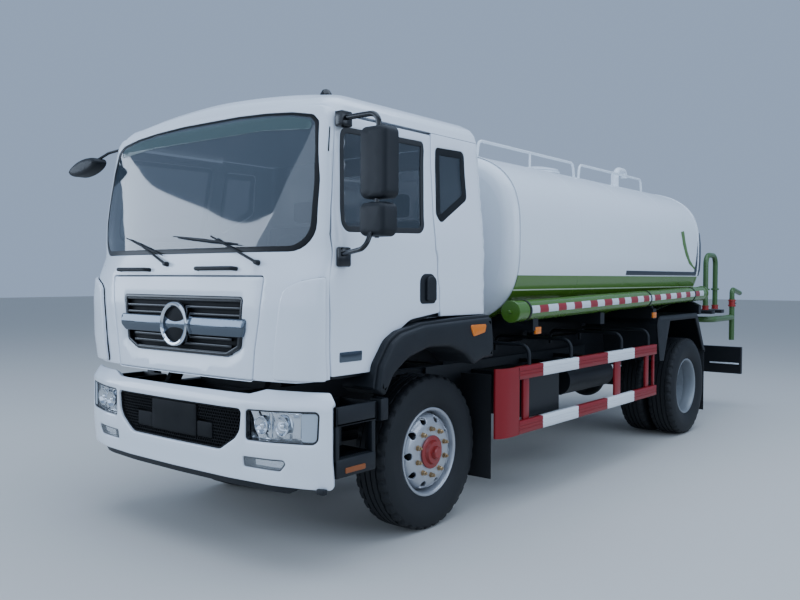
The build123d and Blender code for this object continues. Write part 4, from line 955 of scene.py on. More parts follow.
@dataclass
class Cab:
    """The cab's shell: front, sides, back, roof and glass, all riding the tilting cab."""

    seam_gap: float = 7.0
    glass_thick: float = 5.0
    glass_sink: float = 4.0

    def front_shell(self) -> Form:
        """Everything fixed ahead of the doors, with openings for the screen and the flap."""
        left = [SKIN.side(x + self.seam_gap, z) for x, z in ((1090, 1130), (1101, 1300), (1105, 1500),
                (1103, 1700), (1096, 1950), (1072, 2180), (1046, 2373), (1020, 2530), (1000, 2655))]
        top = [(left[-1][0], SEAM_TOP), *HEADER]
        right = [(-u, z) for u, z in reversed(left + top)]
        outline = [(-1000, 1106), (1000, 1106), *left, *top, *right]
        holes = [on_front(rounded(SCREEN)), on_front(grown(FLAP, -self.seam_gap))]
        lines = [np.array([(sign * u, z) for z in np.arange(1125, 2700, 30)]) for sign in (-1, 1)
                 for u in np.arange(1010, 1230, 22)]
        return panel(SKIN, outline, SHEET, 4, 42, holes, detail=lines)

    def vanes(self) -> tuple[Form, Form]:
        """The raised air vanes beside the front flap; a dark sheet under each, drawn a little past its edge as painted
        shade in the gap where the vane stands off the skin; and a narrow dark slit higher up.
        """
        edge = on_front(VANE)
        outline = [*edge, (1105, 1699), (1172, 1708), (1180, 1500), (1176, 1124)]
        vane = panel(CabSkin(26), rounded([(*p, 20) for p in outline]), 18, 12, 26)
        for z in (1190, 1380, 1570):
            u = SKIN.front(905, z)[0]
            rib = oblong(u + 6, 1160, z - 5, z + 5)
            vane += panel(CabSkin(12), rib, 14, 2, 40)
        # painted shade: a dark sheet on the skin under the vane, grown 4 mm past its edge so that it shows as a dark
        # outline
        dark = panel(CabSkin(2), grown([(*p, 20) for p in outline], -4), 6, 1, 40)
        slit = oblong(1136, 1152, 2422, 2566, 4)
        return vane, dark + panel(CabSkin(1), slit, 5, 1, 40)

    def side_shell(self) -> Form:
        """The left side behind the door, wrapped round to the rear wall."""
        front = [SKIN.side(x - self.seam_gap, z) for x, z in
                 ((55, 1452), (60, 1475), (68, 1640), (108, 1900), (114, 2050), (80, 2655))]
        rear_u = SKIN.side(-500, 1600)[0] + 90
        outline = [*front, (front[-1][0], SEAM_TOP), (rear_u, SEAM_TOP), (rear_u, 1448)]
        swages = [ridge(on_side([(61, 1533), (-472, 1570)]), -3, 12),
                  ridge(on_side([(61, 1500), (-472, 1520)]), -2, 10)]
        skin = CabSkin(relief=lambda u, z: sum(s(np.stack([u, z], 1)) for s in swages))
        lines = [np.array(on_side([(x, 1533 + (61 - x) * 0.07 + off) for x in np.arange(50, -470, -16)]))
                 for off in (-10, 0, 10)]
        return panel(skin, outline, SHEET, 4, 45, [on_side(rounded(QUARTER))], detail=lines)

    def back_shell(self) -> Form:
        """The rear wall, with its window."""
        outline = [(-1062, 1450), (1062, 1450), (1062, 1950), (1005, SEAM_TOP), (-1005, SEAM_TOP), (-1062, 1950)]
        return panel(plane("X", -500, -1), outline, SHEET, 2, 90, [REAR_WINDOW])

    def roof(self) -> Form:
        """The domed roof moulding, with its front visor."""
        rows = []
        knots = np.arange(len(ROOF_SECTIONS))
        for share in np.linspace(0, len(ROOF_SECTIONS) - 1, 26):
            sizes = [np.interp(share, knots, ROOF_SECTIONS[:, k]) for k in range(6)]
            z, half, front, rear, corner, bow = sizes
            one = CabSkin(sections=np.array([(z - 30, half, front, rear, corner, bow), (z + 30, half, front, rear,
                          corner, bow)], float))
            side = one.side(rear + REAR_ROUND, z)[0]
            u = np.concatenate([np.linspace(0, 1000, 16), np.linspace(1030, CORNER_U, 7),
                               np.linspace(CORNER_U + 60, side, 12), side + np.linspace(10, 62.8, 5),
                               side + 62.8 + np.linspace(60, half - REAR_ROUND - 5, 8)])
            loop = np.concatenate([u, -u[::-1][:-1]])
            rows.append(one.place(loop, np.full(len(loop), z)))
        crown = rows[-1]
        for row, share in zip(rows, np.clip(np.linspace(-0.6, 6, 26), 0, 1)):
            row[:, 2] += 50 * share * np.clip(1 - (np.abs(row[:, 1]) / 850) ** 1.6, 0, 1)
        middle = crown.mean(0)
        for share, lift in ((0.75, 2.5), (0.45, 4.5), (0.2, 5.5)):
            ring = middle + (crown - middle) * share
            ring[:, 2] = 2843 + lift + 50 * np.clip(1 - (np.abs(ring[:, 1]) / 850) ** 1.6, 0, 1)
            rows.append(ring)
        floor = rows[0] * (0.97, 0.97, 1)
        return grid(np.array([floor, *rows]), True)

    def glass(self) -> None:
        """Make the screen, quarter and rear panes, the dark borders and the sun band."""
        sunk, border = CabSkin(-self.glass_sink), CabSkin(-self.glass_sink + 1.8)
        screen, clear = on_front(grown(SCREEN, 2)), on_front(rounded(CLEAR))
        quarter = on_side(grown(QUARTER, 3))
        film = panel(border, screen, 1.6, 0.4, 22, [clear])
        band = panel(border, on_front(rounded(SUN_STRIP, 20)), 0.8, 0.3, 27)
        edge = panel(border, quarter, 1, 0.4, 40, [on_side(grown(QUARTER, 52))])
        piece("windscreen", panel(sunk, screen, self.glass_thick, 1, 27), GLASS, "cab_glass", body="cab")
        piece("windscreen_border", film, FRIT, body="cab")
        piece("windscreen_sun_band", band, SUN_BAND, body="cab")
        piece("quarter_windows", panel(sunk, quarter, self.glass_thick, 1, 60).both(), DOOR_GLASS, body="cab")
        piece("quarter_window_borders", edge.both(), FRIT, body="cab")
        rear = panel(plane("X", -492, -1), REAR_WINDOW, self.glass_thick, 1, 90)
        piece("rear_window", rear, DOOR_GLASS, body="cab")

    def build(self) -> None:
        """Make the shell's pieces."""
        piece("cab_front_shell", self.front_shell(), CAB_WHITE, "cab_front", body="cab")
        piece("cab_side_shells", self.side_shell().both(), CAB_WHITE, "cab_sides", body="cab")
        piece("cab_back_wall", self.back_shell(), CAB_WHITE, "cab_back", body="cab")
        piece("cab_roof_moulding", self.roof(), CAB_WHITE, "cab_roof", body="cab", crease=50)
        vanes, slots = self.vanes()
        piece("corner_vanes", vanes.both(), CAB_WHITE, body="cab")
        # painted shade under the vanes as a dark sheet, with the narrow slit
        piece("corner_vane_painted_shade_and_slit", slots.both(), GLOSS_BLACK, body="cab")
        self.glass()
        lamp = lathe([(0, 0.1), (0, 40), (12, 42), (34, 36), (56, 22), (64, 0.1)], (700, 723, 2826), "Z", 28)
        piece("roof_marker_lamps", lamp.both(), GLOSS_BLACK, body="cab")


@dataclass
class Doors:
    """Both doors with their glass, seals, handles and mirrors."""


    def shell(self) -> Form:
        """The left door's sheet."""
        swages = [ridge(on_side([(1010, 1475), (82, 1514)]), -7, 13),
                  ridge(on_side([(1010, 1440), (481, 1462)]), -5, 11)]
        bowl = np.array(on_side(rounded([(98, 1528, 40), (290, 1528, 40), (290, 1742, 60), (98, 1742, 60)])), float)

        def relief(u: Array, z: Array) -> Array:
            """The sheet's pressed lines and hollows."""
            at = np.stack([u, z], 1)
            edge = gap_to(at, bowl) * np.where(inside(at, bowl), 1, -1)
            return sum(s(at) for s in swages) - 7 * smooth((edge + 2) / 14)

        lines = [np.array(on_side([(x, 1475 + (1010 - x) * 0.042 + off) for x in np.arange(1010, 80, -16)]))
                 for off in (-12, -6, 0, 6, 12)]
        lines += [np.array(on_side([(x, z) for z in np.arange(1520, 1750, 11)])) for x in np.arange(88, 300, 11)]
        hole = on_side(rounded(DOOR_WINDOW))
        return panel(CabSkin(relief=relief), on_side(grown(DOOR, 2)), SHEET + 20, 4.5, 45, [hole], detail=lines)

    def pane(self) -> Form:
        """The left door's glass."""
        return panel(CabSkin(-6), on_side(grown(DOOR_WINDOW, 2)), 5, 1, 60)

    def seal(self) -> Form:
        """The black seal round the left door's glass."""
        return panel(CabSkin(-1), on_side(grown(DOOR_WINDOW, 1)), 8, 2, 40, [on_side(grown(DOOR_WINDOW, 34))])

    def handle(self) -> Form:
        """The left door's flush handle: a backing cup and its paddle."""
        back = rounded([(108, 1538, 30), (280, 1538, 30), (280, 1732, 60), (108, 1732, 60)])
        grip = rounded([(120, 1556, 14), (222, 1556, 14), (222, 1716, 40), (120, 1716, 40)])
        return panel(CabSkin(3), on_side(back), 14, 3, 30) + panel(CabSkin(20), on_side(grip), 17, 7, 30)

    def badge(self) -> Form:
        """The left door's small blank badge plate."""
        return panel(CabSkin(2.5), on_side(oblong(834, 1027, 1220, 1279, 8)), 5, 1.5, 40)

    def heads(self) -> tuple[Form, Form]:
        """The left mirror's two moulded heads with their grooves, and its glasses looking back."""
        heads, faces = Form(), Form()
        for low, high, near, x0, x1 in ((2141, 2539, 1296, 930, 1040), (1933, 2120, 1306, 944, 1056)):
            outline = oblong(near, 1496, low, high, 44)
            groove = ridge([(near + 62, low + 30), (near + 62, high - 30)], -9, 20)
            lines = [np.array([(near + 62 + off, z) for z in np.arange(low + 10, high, 16)])
                     for off in (-16, -8, 0, 8, 16)]
            flat = plane("X", x1)

            def face(a: Array, b: Array) -> tuple[Array, Array]:
                """Points and outward normals."""
                place, normal = flat(a, b)
                return place + normal * groove(np.stack([a, b], 1))[:, None], normal

            heads += panel(face, outline, x1 - x0, 30, 50, detail=lines)
            faces += panel(plane("X", x0 - 1, -1), grown(outline, 16), 4, 1.5, 80)
        return heads, faces

    def left_arm(self) -> Form:
        """The left mirror's tube and its two feet on the door frame."""
        arm = tube([(985, 1135, 2615), (985, 1400, 2615), (985, 1400, 2440)], 16, 60)
        arm += tube([(1000, 1400, 2450), (1000, 1400, 1925)], 13, 10)
        arm += tube([(1050, 1400, 1950), (1100, 1400, 1866), (1035, 1165, 1836)], 14, 50)
        return arm + block(930, 1020, 1095, 1160, 2565, 2656, 12) + block(970, 1062, 1146, 1188, 1766, 1880, 14)

    def right_mirror(self) -> tuple[Form, Form, Form]:
        """The right side's one oval head on a thin arm, with its glass."""
        oval = [(-1292 + 186 * math.cos(t), 2513 + 58 * math.sin(t) + 26 * math.cos(t)) for t in turns(40)]
        head = panel(plane("X", 1205), oval, 100, 30, 30)
        arm = tube([(1015, -1072, 2640), (1090, -1100, 2610), (1150, -1140, 2560)], 10, 40, 14)
        return head, panel(plane("X", 1104, -1), grown(oval, 12), 4, 1, 40), arm

    def build(self) -> None:
        """Make both doors' pieces."""
        parts = (("shell", self.shell(), CAB_WHITE, "door_panel"), ("glass", self.pane(), DOOR_GLASS, "door_glass"),
                 ("seal", self.seal(), SEAL_RUBBER), ("handle", self.handle(), PLASTIC_BLACK),
                 ("badge", self.badge(), SATIN_CHROME))
        for label, form, finish, *nodes in parts:
            for side, one in (("left", form), ("right", form.mirrored())):
                piece(f"door_{side}_{label}", one, finish, *(f"{node}_{side}" for node in nodes), body=f"door_{side}")
        for side, forms in (("left", (*self.heads(), self.left_arm())), ("right", self.right_mirror())):
            for label, form, finish in zip(("head", "glass", "arm"), forms, (PLASTIC_BLACK, MIRROR_FACE, GLOSS_BLACK)):
                nodes = [f"mirror_{side}"] if label == "head" else []
                piece(f"mirror_{side}_{label}", form, finish, *nodes, body=f"door_{side}")


@dataclass
class FrontFlap:
    """The lifting front flap with its grille, cross bar and plain ring."""

    ring: Pair = (-14.0, 1411.0)

    def shell(self) -> Form:
        """The flap's sheet round the grille opening, with its sunk bevel."""
        sunk = np.array(on_front([(-640, 1400), (-622, 1273), (-490, 1160), (470, 1160), (622, 1273),
                        (640, 1400), (632, 1610), (-632, 1610)]), float)

        def relief(u: Array, z: Array) -> Array:
            """The sheet's pressed lines and hollows."""
            at = np.stack([u, z], 1)
            edge = gap_to(at, sunk) * np.where(inside(at, sunk), 1, -1)
            return -20 * smooth((edge + 4) / 46) * smooth((1500 - z) / 160)

        lines = [grown(on_front([(-660, 1400), (-640, 1262), (-500, 1146), (480, 1146), (640, 1262),
                 (660, 1400)]), reach) for reach in (0, 10, 20, 30, 40)]
        return panel(CabSkin(relief=relief), on_front(grown(FLAP, 1)), 30, 5, 42, [on_front(rounded(GRILLE))],
                     detail=[densify(line, 22) for line in lines])

    def surround(self) -> Form:
        """The grille's black surround, set in the flap's opening."""
        return panel(CabSkin(-3), on_front(grown(GRILLE, 1)), 26, 5, 30, [on_front(grown(GRILLE, 24))])

    def slat(self, z: float, half: float) -> Form:
        """One slat that follows the front's bow."""
        outline = on_front(oblong(-half, half, z - 9, z + 9))
        return panel(CabSkin(-8), outline, 16, 5, 60)

    def build(self) -> None:
        """Make the flap's pieces."""
        piece("flap_shell", self.shell(), CAB_WHITE, "front_panel", body="hood_flap")
        piece("grille_surround", self.surround(), GLOSS_BLACK, "front_grille", body="hood_flap")
        back = panel(CabSkin(-34), on_front(grown(GRILLE, 6)), 4, 1, 80)
        piece("grille_back", back, MESH_BLACK, body="hood_flap")
        repeated("grille_slats", self.slat(1478, 600), GLOSS_BLACK, 3, (0, 0, 44), body="hood_flap")
        repeated("grille_slats_low", self.slat(1250, 500), GLOSS_BLACK, 3, (0, 0, 42), body="hood_flap")
        bar = rounded([(-640, 1462, 16), (640, 1462, 16), (628, 1384, 30), (596, 1350, 30), (-596, 1350, 30),
                      (-628, 1384, 30)])
        bulge = CabSkin(4, relief=lambda u, z: 14 * smooth(1 - np.abs(z - 1408) / 62))
        lines = [np.array([(u, z) for u in np.arange(-600, 610, 40)]) for z in (1378, 1396, 1414, 1432, 1450)]
        piece("grille_cross_bar", panel(bulge, on_front(bar), 22, 8, 45, detail=lines), SATIN_CHROME, body="hood_flap")
        rim = [(1282, 141), (1310, 141), (1320, 138), (1325, 130), (1322, 119), (1314, 113), (1284, 113)]
        piece("grille_ring", lathe(rim, (0, *self.ring), "X", 96), CHROME, body="hood_flap")
        disc = [(1276, 0.1), (1276, 116), (1296, 116), (1303, 60), (1305, 0.1)]
        piece("grille_ring_disc", lathe(disc, (0, *self.ring), "X", 64), MESH_BLACK, body="hood_flap")


@dataclass
class ScreenGear:
    """Wipers and the two grab handles under the windscreen."""


    def on(self, y: float, z: float, lift: float) -> Point:
        """A point standing off the front."""
        u, height = SKIN.front(y, z)
        point, normal = SKIN(np.array([u]), np.array([height]))
        return tuple(point[0] + normal[0] * lift)

    def wiper(self, pivot: Pair, elbow: Pair, ends: tuple[Pair, ...]) -> Form:
        """An arm with its pivot cap and blade."""
        arm = tube([self.on(*pivot, 22), self.on(*elbow, 24)], [9, 6], sides=10)
        line = [self.on(ends[0][0] + (ends[1][0] - ends[0][0]) * s, ends[0][1] + (ends[1][1] - ends[0][1]) * s, 16)
                for s in np.linspace(0, 1, 9)]
        blade = tube(line, [3, 5, 7, 8, 9, 8, 7, 5, 3], sides=8)
        cap = tube([self.on(*pivot, 2), self.on(*pivot, 34)], [17, 13], sides=18)
        return arm + blade + cap

    def handle(self, y0: float, y1: float, z: float) -> Form:
        """A grab handle between two feet."""
        middle = (y0 + y1) / 2
        return tube([self.on(y0, z, -2), self.on(y0 + 8, z, 34), self.on(middle, z, 34), self.on(y1 - 8, z, 34),
                    self.on(y1, z, -2)], 13, 18, 14)

    def build(self) -> None:
        """Make the wipers and handles."""
        wipers = self.wiper((-128, 1788), (-410, 1905), ((-170, 1842), (-640, 1968)))
        wipers += self.wiper((713, 1790), (300, 1950), ((545, 1900), (-92, 1962)))
        handles = self.handle(-671, -317, 1752) + self.handle(192, 543, 1756)
        piece("wipers_and_handles", wipers + handles, PLASTIC_BLACK, "wipers", body="cab")


@dataclass
class Flares:
    """The black wheel-arch lips of the cab with their amber markers."""

    out: float = 1222.0

    def build(self) -> None:
        """Make both flares."""
        outer = [(764, 1040, 12), (736, 1181, 80), (632, 1316, 120), (540, 1364, 150), (313, 1405, 200),
                 (-134, 1420, 200), (-474, 1429, 20), (-497, 1281, 40), (-498, 1145, 14), (-373, 1143, 40)]
        inner = [(-253, 1108, 60), (-136, 1193, 150), (33, 1253, 200), (262, 1261, 200), (476, 1208, 150),
                 (616, 1122, 100), (698, 1000, 14)]
        form = panel(plane("Y", self.out), rounded(outer + inner), 300, 26, 60)
        lip = panel(plane("Y", self.out - 34), rounded([(782, 1046, 20), (752, 1190, 80), (646, 1330, 120),
                    (548, 1380, 150), (316, 1421, 200), (-134, 1440, 200), (-490, 1446, 12), (-480, 1400, 12),
                    (-134, 1396, 200), (300, 1380, 200), (520, 1340, 150), (620, 1290, 100), (720, 1160, 60),
                    (748, 1040, 12)]), 160, 8, 60)
        piece("wheel_arch_flares", (form + lip).both(), PLASTIC_BLACK, "fender_flares", body="cab")
        marker = panel(plane("Y", self.out + 8), rounded([(-189, 1385, 14), (-389, 1385, 14), (-369, 1327, 14),
                       (-229, 1305, 14)]), 14, 5, 30)
        piece("arch_marker_lamps", marker.both(), AMBER, body="cab")


# ---- bumper ----
BUMPER_PLAN = np.array([(1343, 0), (1333, 500), (1298, 850), (1233, 1080), (1162, 1212)], float)
BUMPER_LOW = 518
BUMPER_TOP = 1064


@dataclass
class BumperSkin(Skin):
    """The front bumper's outer skin: offset from the middle, then height."""

    span: float = 3.0

    def place(self, y: Array, z: Array) -> Array:
        """Points of the skin."""
        fine = np.linspace(0, 1260, 400)
        values = np.interp(fine, BUMPER_PLAN[:, 1], BUMPER_PLAN[:, 0])
        beyond = fine > BUMPER_PLAN[-1, 1]
        values = np.where(beyond, BUMPER_PLAN[-1, 0] - (fine - BUMPER_PLAN[-1, 1]) * 1.2, values)
        kernel = np.hanning(61)
        padded = np.pad(values, 30, mode="reflect")
        values = np.convolve(padded, kernel / kernel.sum(), "valid")
        x = np.interp(np.abs(y), fine, values) - 2
        lean = 62 * np.clip((z - 985) / 81, 0, 1) + 14 * smooth((700 - z) / 170)
        return np.stack([x - lean, np.asarray(y, float), np.asarray(z, float)], 1)


OPENING = [(-632, 940, 30), (632, 940, 30), (618, 815, 60), (582, 764, 60), (448, 680, 80), (-448, 680, 80),
           (-582, 764, 60), (-618, 815, 60)]
HEAD_LAMP = [(665, 941, 22), (1149, 958, 26), (1141, 773, 40), (664, 762, 22)]
FOG_LAMP = [(644, 664, 12), (970, 672, 26), (912, 605, 20), (644, 604, 12)]


@dataclass
class Bumper:
    """The wrapped front bumper with its mesh, lamps, valance and step boxes."""

    middle_top: float = 1032.0
    depth: float = 44.0
    cell: float = 25.0

    def relief(self, y: Array, z: Array) -> Array:
        """The soft lip round the lamps."""
        at = np.stack([np.abs(y), z], 1)
        lamp = np.array([p[:2] for p in HEAD_LAMP], float)
        edge = gap_to(at, lamp)
        return -3 * smooth(1 - edge / 22)

    def shell(self) -> Form:
        """The bumper's painted shell."""
        outline = [(-1166, BUMPER_TOP, 30), (-775, BUMPER_TOP, 40), (-664, self.middle_top, 60),
                   (664, self.middle_top, 60), (775, BUMPER_TOP, 40), (1166, BUMPER_TOP, 30), (1208, 1016, 20),
                   (1208, BUMPER_LOW, 24), (-1208, BUMPER_LOW, 24), (-1208, 1016, 20)]
        holes = [rounded(OPENING)]
        for side in (1, -1):
            for lamp in (HEAD_LAMP, FOG_LAMP):
                holes.append([(y * side, z) for y, z in rounded(lamp)])
        lines = [np.array([(s * y, z) for y in np.arange(640, 1170, 14)]) for s in (-1, 1) for z in (748, 756, 966)]
        lines += [np.array([(y, z) for y in np.arange(-1190, 1190, 30)]) for z in (981, 987, 992)]
        return panel(BumperSkin(relief=self.relief), rounded(outline), self.depth, 9, 40, holes, detail=lines)

    def mesh(self) -> Form:
        """One cell of the opening's mesh."""
        half = self.cell / 2
        outer, inner = ([(-620 + half * size * math.cos(a), 920 + half * size * math.sin(a))
                        for a in np.radians(range(30, 390, 60))] for size in (1, 0.7))
        return panel(plane("X", 0), outer, 10, 1.5, 60, [inner])

    def opening(self) -> Form:
        """The mesh behind the opening: cells kept inside its outline and bent to the bumper."""
        skin = BumperSkin(-26)
        outline = np.array(grown(OPENING, 6))
        cells = []
        cell = self.mesh()
        pitch_y, pitch_z = self.cell * 0.87, self.cell * 0.76
        for row in range(int(270 / pitch_z)):
            for column in range(int(1260 / pitch_y) + 1):
                y = -630 + column * pitch_y + (pitch_y / 2 if row % 2 else 0)
                z = 926 - row * pitch_z
                hidden = -250 < y < 222 and 722 < z < 934 or (-418 < y < -240 or 206 < y < 368) and 724 < z < 834
                if hidden or not inside(np.array([(y, z)]), outline)[0]:
                    continue
                points = cell.points + (0, y + 620, z - 920)
                place, _ = skin(points[:, 1], points[:, 2])
                cells.append(Form(np.stack([place[:, 0] + cell.points[:, 0], points[:, 1], points[:, 2]], 1),
                             list(cell.faces)))
        return total(cells)

    def build(self) -> None:
        """Make the front end's pieces."""
        piece("bumper_shell", self.shell(), CAB_WHITE, "front_bumper")
        piece("bumper_mesh", self.opening(), MESH_BLACK, "bumper_grille")
        trim = panel(BumperSkin(-14), grown(OPENING, 1), 40, 5, 30, [grown(OPENING, 12)])
        trim += panel(BumperSkin(-60), grown(OPENING, -14), 6, 2, 60)
        for *sides, push in ((-245, 216, 728, 925, -18), (-411, -248, 731, 827, -22), (219, 362, 731, 827, -22)):
            trim += panel(BumperSkin(push), oblong(*sides, 10), 20, 4, 50)
        piece("bumper_opening_trim", trim, MESH_BLACK)
        valance = panel(BumperSkin(-44), rounded([(-1000, 532), (1000, 532), (1000, 500, 40), (940, 470, 40),
                        (-940, 470, 40), (-1000, 500, 40)]), 36, 6, 60)
        apron = block(1176, 1190, -1040, 1040, 900, 990, 4) + block(1150, 1180, -1080, 1080, 900, 975, 4)
        bracket = block(1166, 1200, 1130, 1186, 498, 530, 5)
        piece("bumper_valance", valance + apron + bracket, PLASTIC_BLACK)
        self.lamps()
        self.steps()

    def lamps(self) -> None:
        """The headlamps and fog lamps: dark bowls, chrome reflectors and clear covers."""
        house, reflectors, frost = Form(), Form(), Form()
        lean = BumperSkin(relief=lambda y, z: -8 - 38 * np.clip((1149 - np.abs(y)) / 484, 0, 1))
        facets = BumperSkin(relief=lambda y, z: -50 + 12 * np.abs(((np.abs(y) + z * 0.4) / 44) % 2 - 1) +
                            10 * np.abs((z / 52) % 2 - 1))
        lines = [np.array([(y, z) for y in np.arange(680, 1045, 11)]) for z in np.arange(778, 940, 13)]
        lenses = panel(lean, grown(HEAD_LAMP, 2), 3.5, 1.2, 45)
        reflectors += panel(facets, rounded([(678, 772), (1042, 784), (1042, 946), (678, 934)], 10), 4, 1, 30,
                            detail=lines)
        lenses += panel(BumperSkin(-5), grown(FOG_LAMP, 2), 3.5, 1.2, 45)
        for lamp, deep in ((HEAD_LAMP, -54), (FOG_LAMP, -34)):
            house += panel(BumperSkin(deep), grown(lamp, 1), 6, 2, 50)
            house += panel(BumperSkin(-6), grown(lamp, 1), 44, 2, 40, [grown(lamp, 7)])
        for y, z, size in ((775, 856, 50), (915, 862, 54)):
            x = float(BumperSkin().place(np.array([y]), np.array([z]))[0, 0]) - 6
            bowl = [(-44, 0.1), (-42, size * 0.28), (-36, size * 0.5), (-24, size * 0.8), (-12, size), (-9, size),
                    (-9, size + 4), (-14, size + 4), (-46, size * 0.55), (-48, 0.1)]
            reflectors += lathe(bowl, (x, y, z), "X", 48)
            reflectors += lathe([(-44, 0.1), (-44, 17), (-16, 16), (-9, 9), (-7, 0.1)], (x, y, z), "X", 24)
        divider = [(836, 790), (848, 790), (848, 932), (836, 932)]
        outer_end = [(984, 796), (1036, 800), (1040, 936), (984, 932)]
        for corners in (divider, outer_end):
            reflectors += panel(BumperSkin(-26), rounded(corners, 4), 16, 2, 40)
        fog = rounded([(724, 612, 8), (905, 612, 8), (950, 664, 8), (724, 658, 8)])
        reflectors += panel(BumperSkin(-22), fog, 5, 2, 30)
        frost += panel(BumperSkin(-10), rounded([(1048, 785, 14), (1132, 788, 24), (1140, 946, 18), (1048, 942, 14)]),
                       3, 0.8, 40)
        piece("lamp_housings", house.both(), GLOSS_BLACK)
        piece("lamp_reflectors", reflectors.both(), CHROME, "front_lamps", slot="lamp_clear")
        piece("lamp_lenses", lenses.both(), LENS)
        piece("lamp_frosted_ends", frost.both(), LENS_FROST)

    def steps(self) -> None:
        """The two step boxes behind the bumper, with their reflectors."""
        body = block(748, 1094, 884, 1186, 566, 678, 14) + block(748, 1094, 884, 1186, 862, 884, 8)
        body += block(748, 1094, 884, 906, 566, 976, 6) + block(748, 766, 900, 1186, 862, 976, 8)
        body += block(1078, 1094, 900, 1186, 862, 976, 8) + block(748, 1094, 1166, 1186, 862, 976, 10)
        body += block(842, 918, 431, 890, 862, 918, 6)
        for x in (748, 1060):
            body += block(x, x + 34, 1130, 1180, 640, 900, 8)
        body += block(645, 716, 1100, 1196, 850, 985, 10)
        piece("step_boxes", body.both(), PLASTIC_BLACK, "cab_steps")
        lip = block(770, 778, 930, 1160, 677, 683, 2)
        repeated("step_tread_bars", lip.both(), GLOSS_BLACK, 18, (17, 0, 0))
        marker = panel(plane("Y", 1191), oblong(849, 1022, 590, 622, 8), 8, 3, 40)
        piece("step_reflectors", marker.both(), STEP_AMBER)


# ---- wheels ----
class Axle(Enum):
    """Which axle a wheel is on."""

    FRONT = "front"
    REAR = "rear"


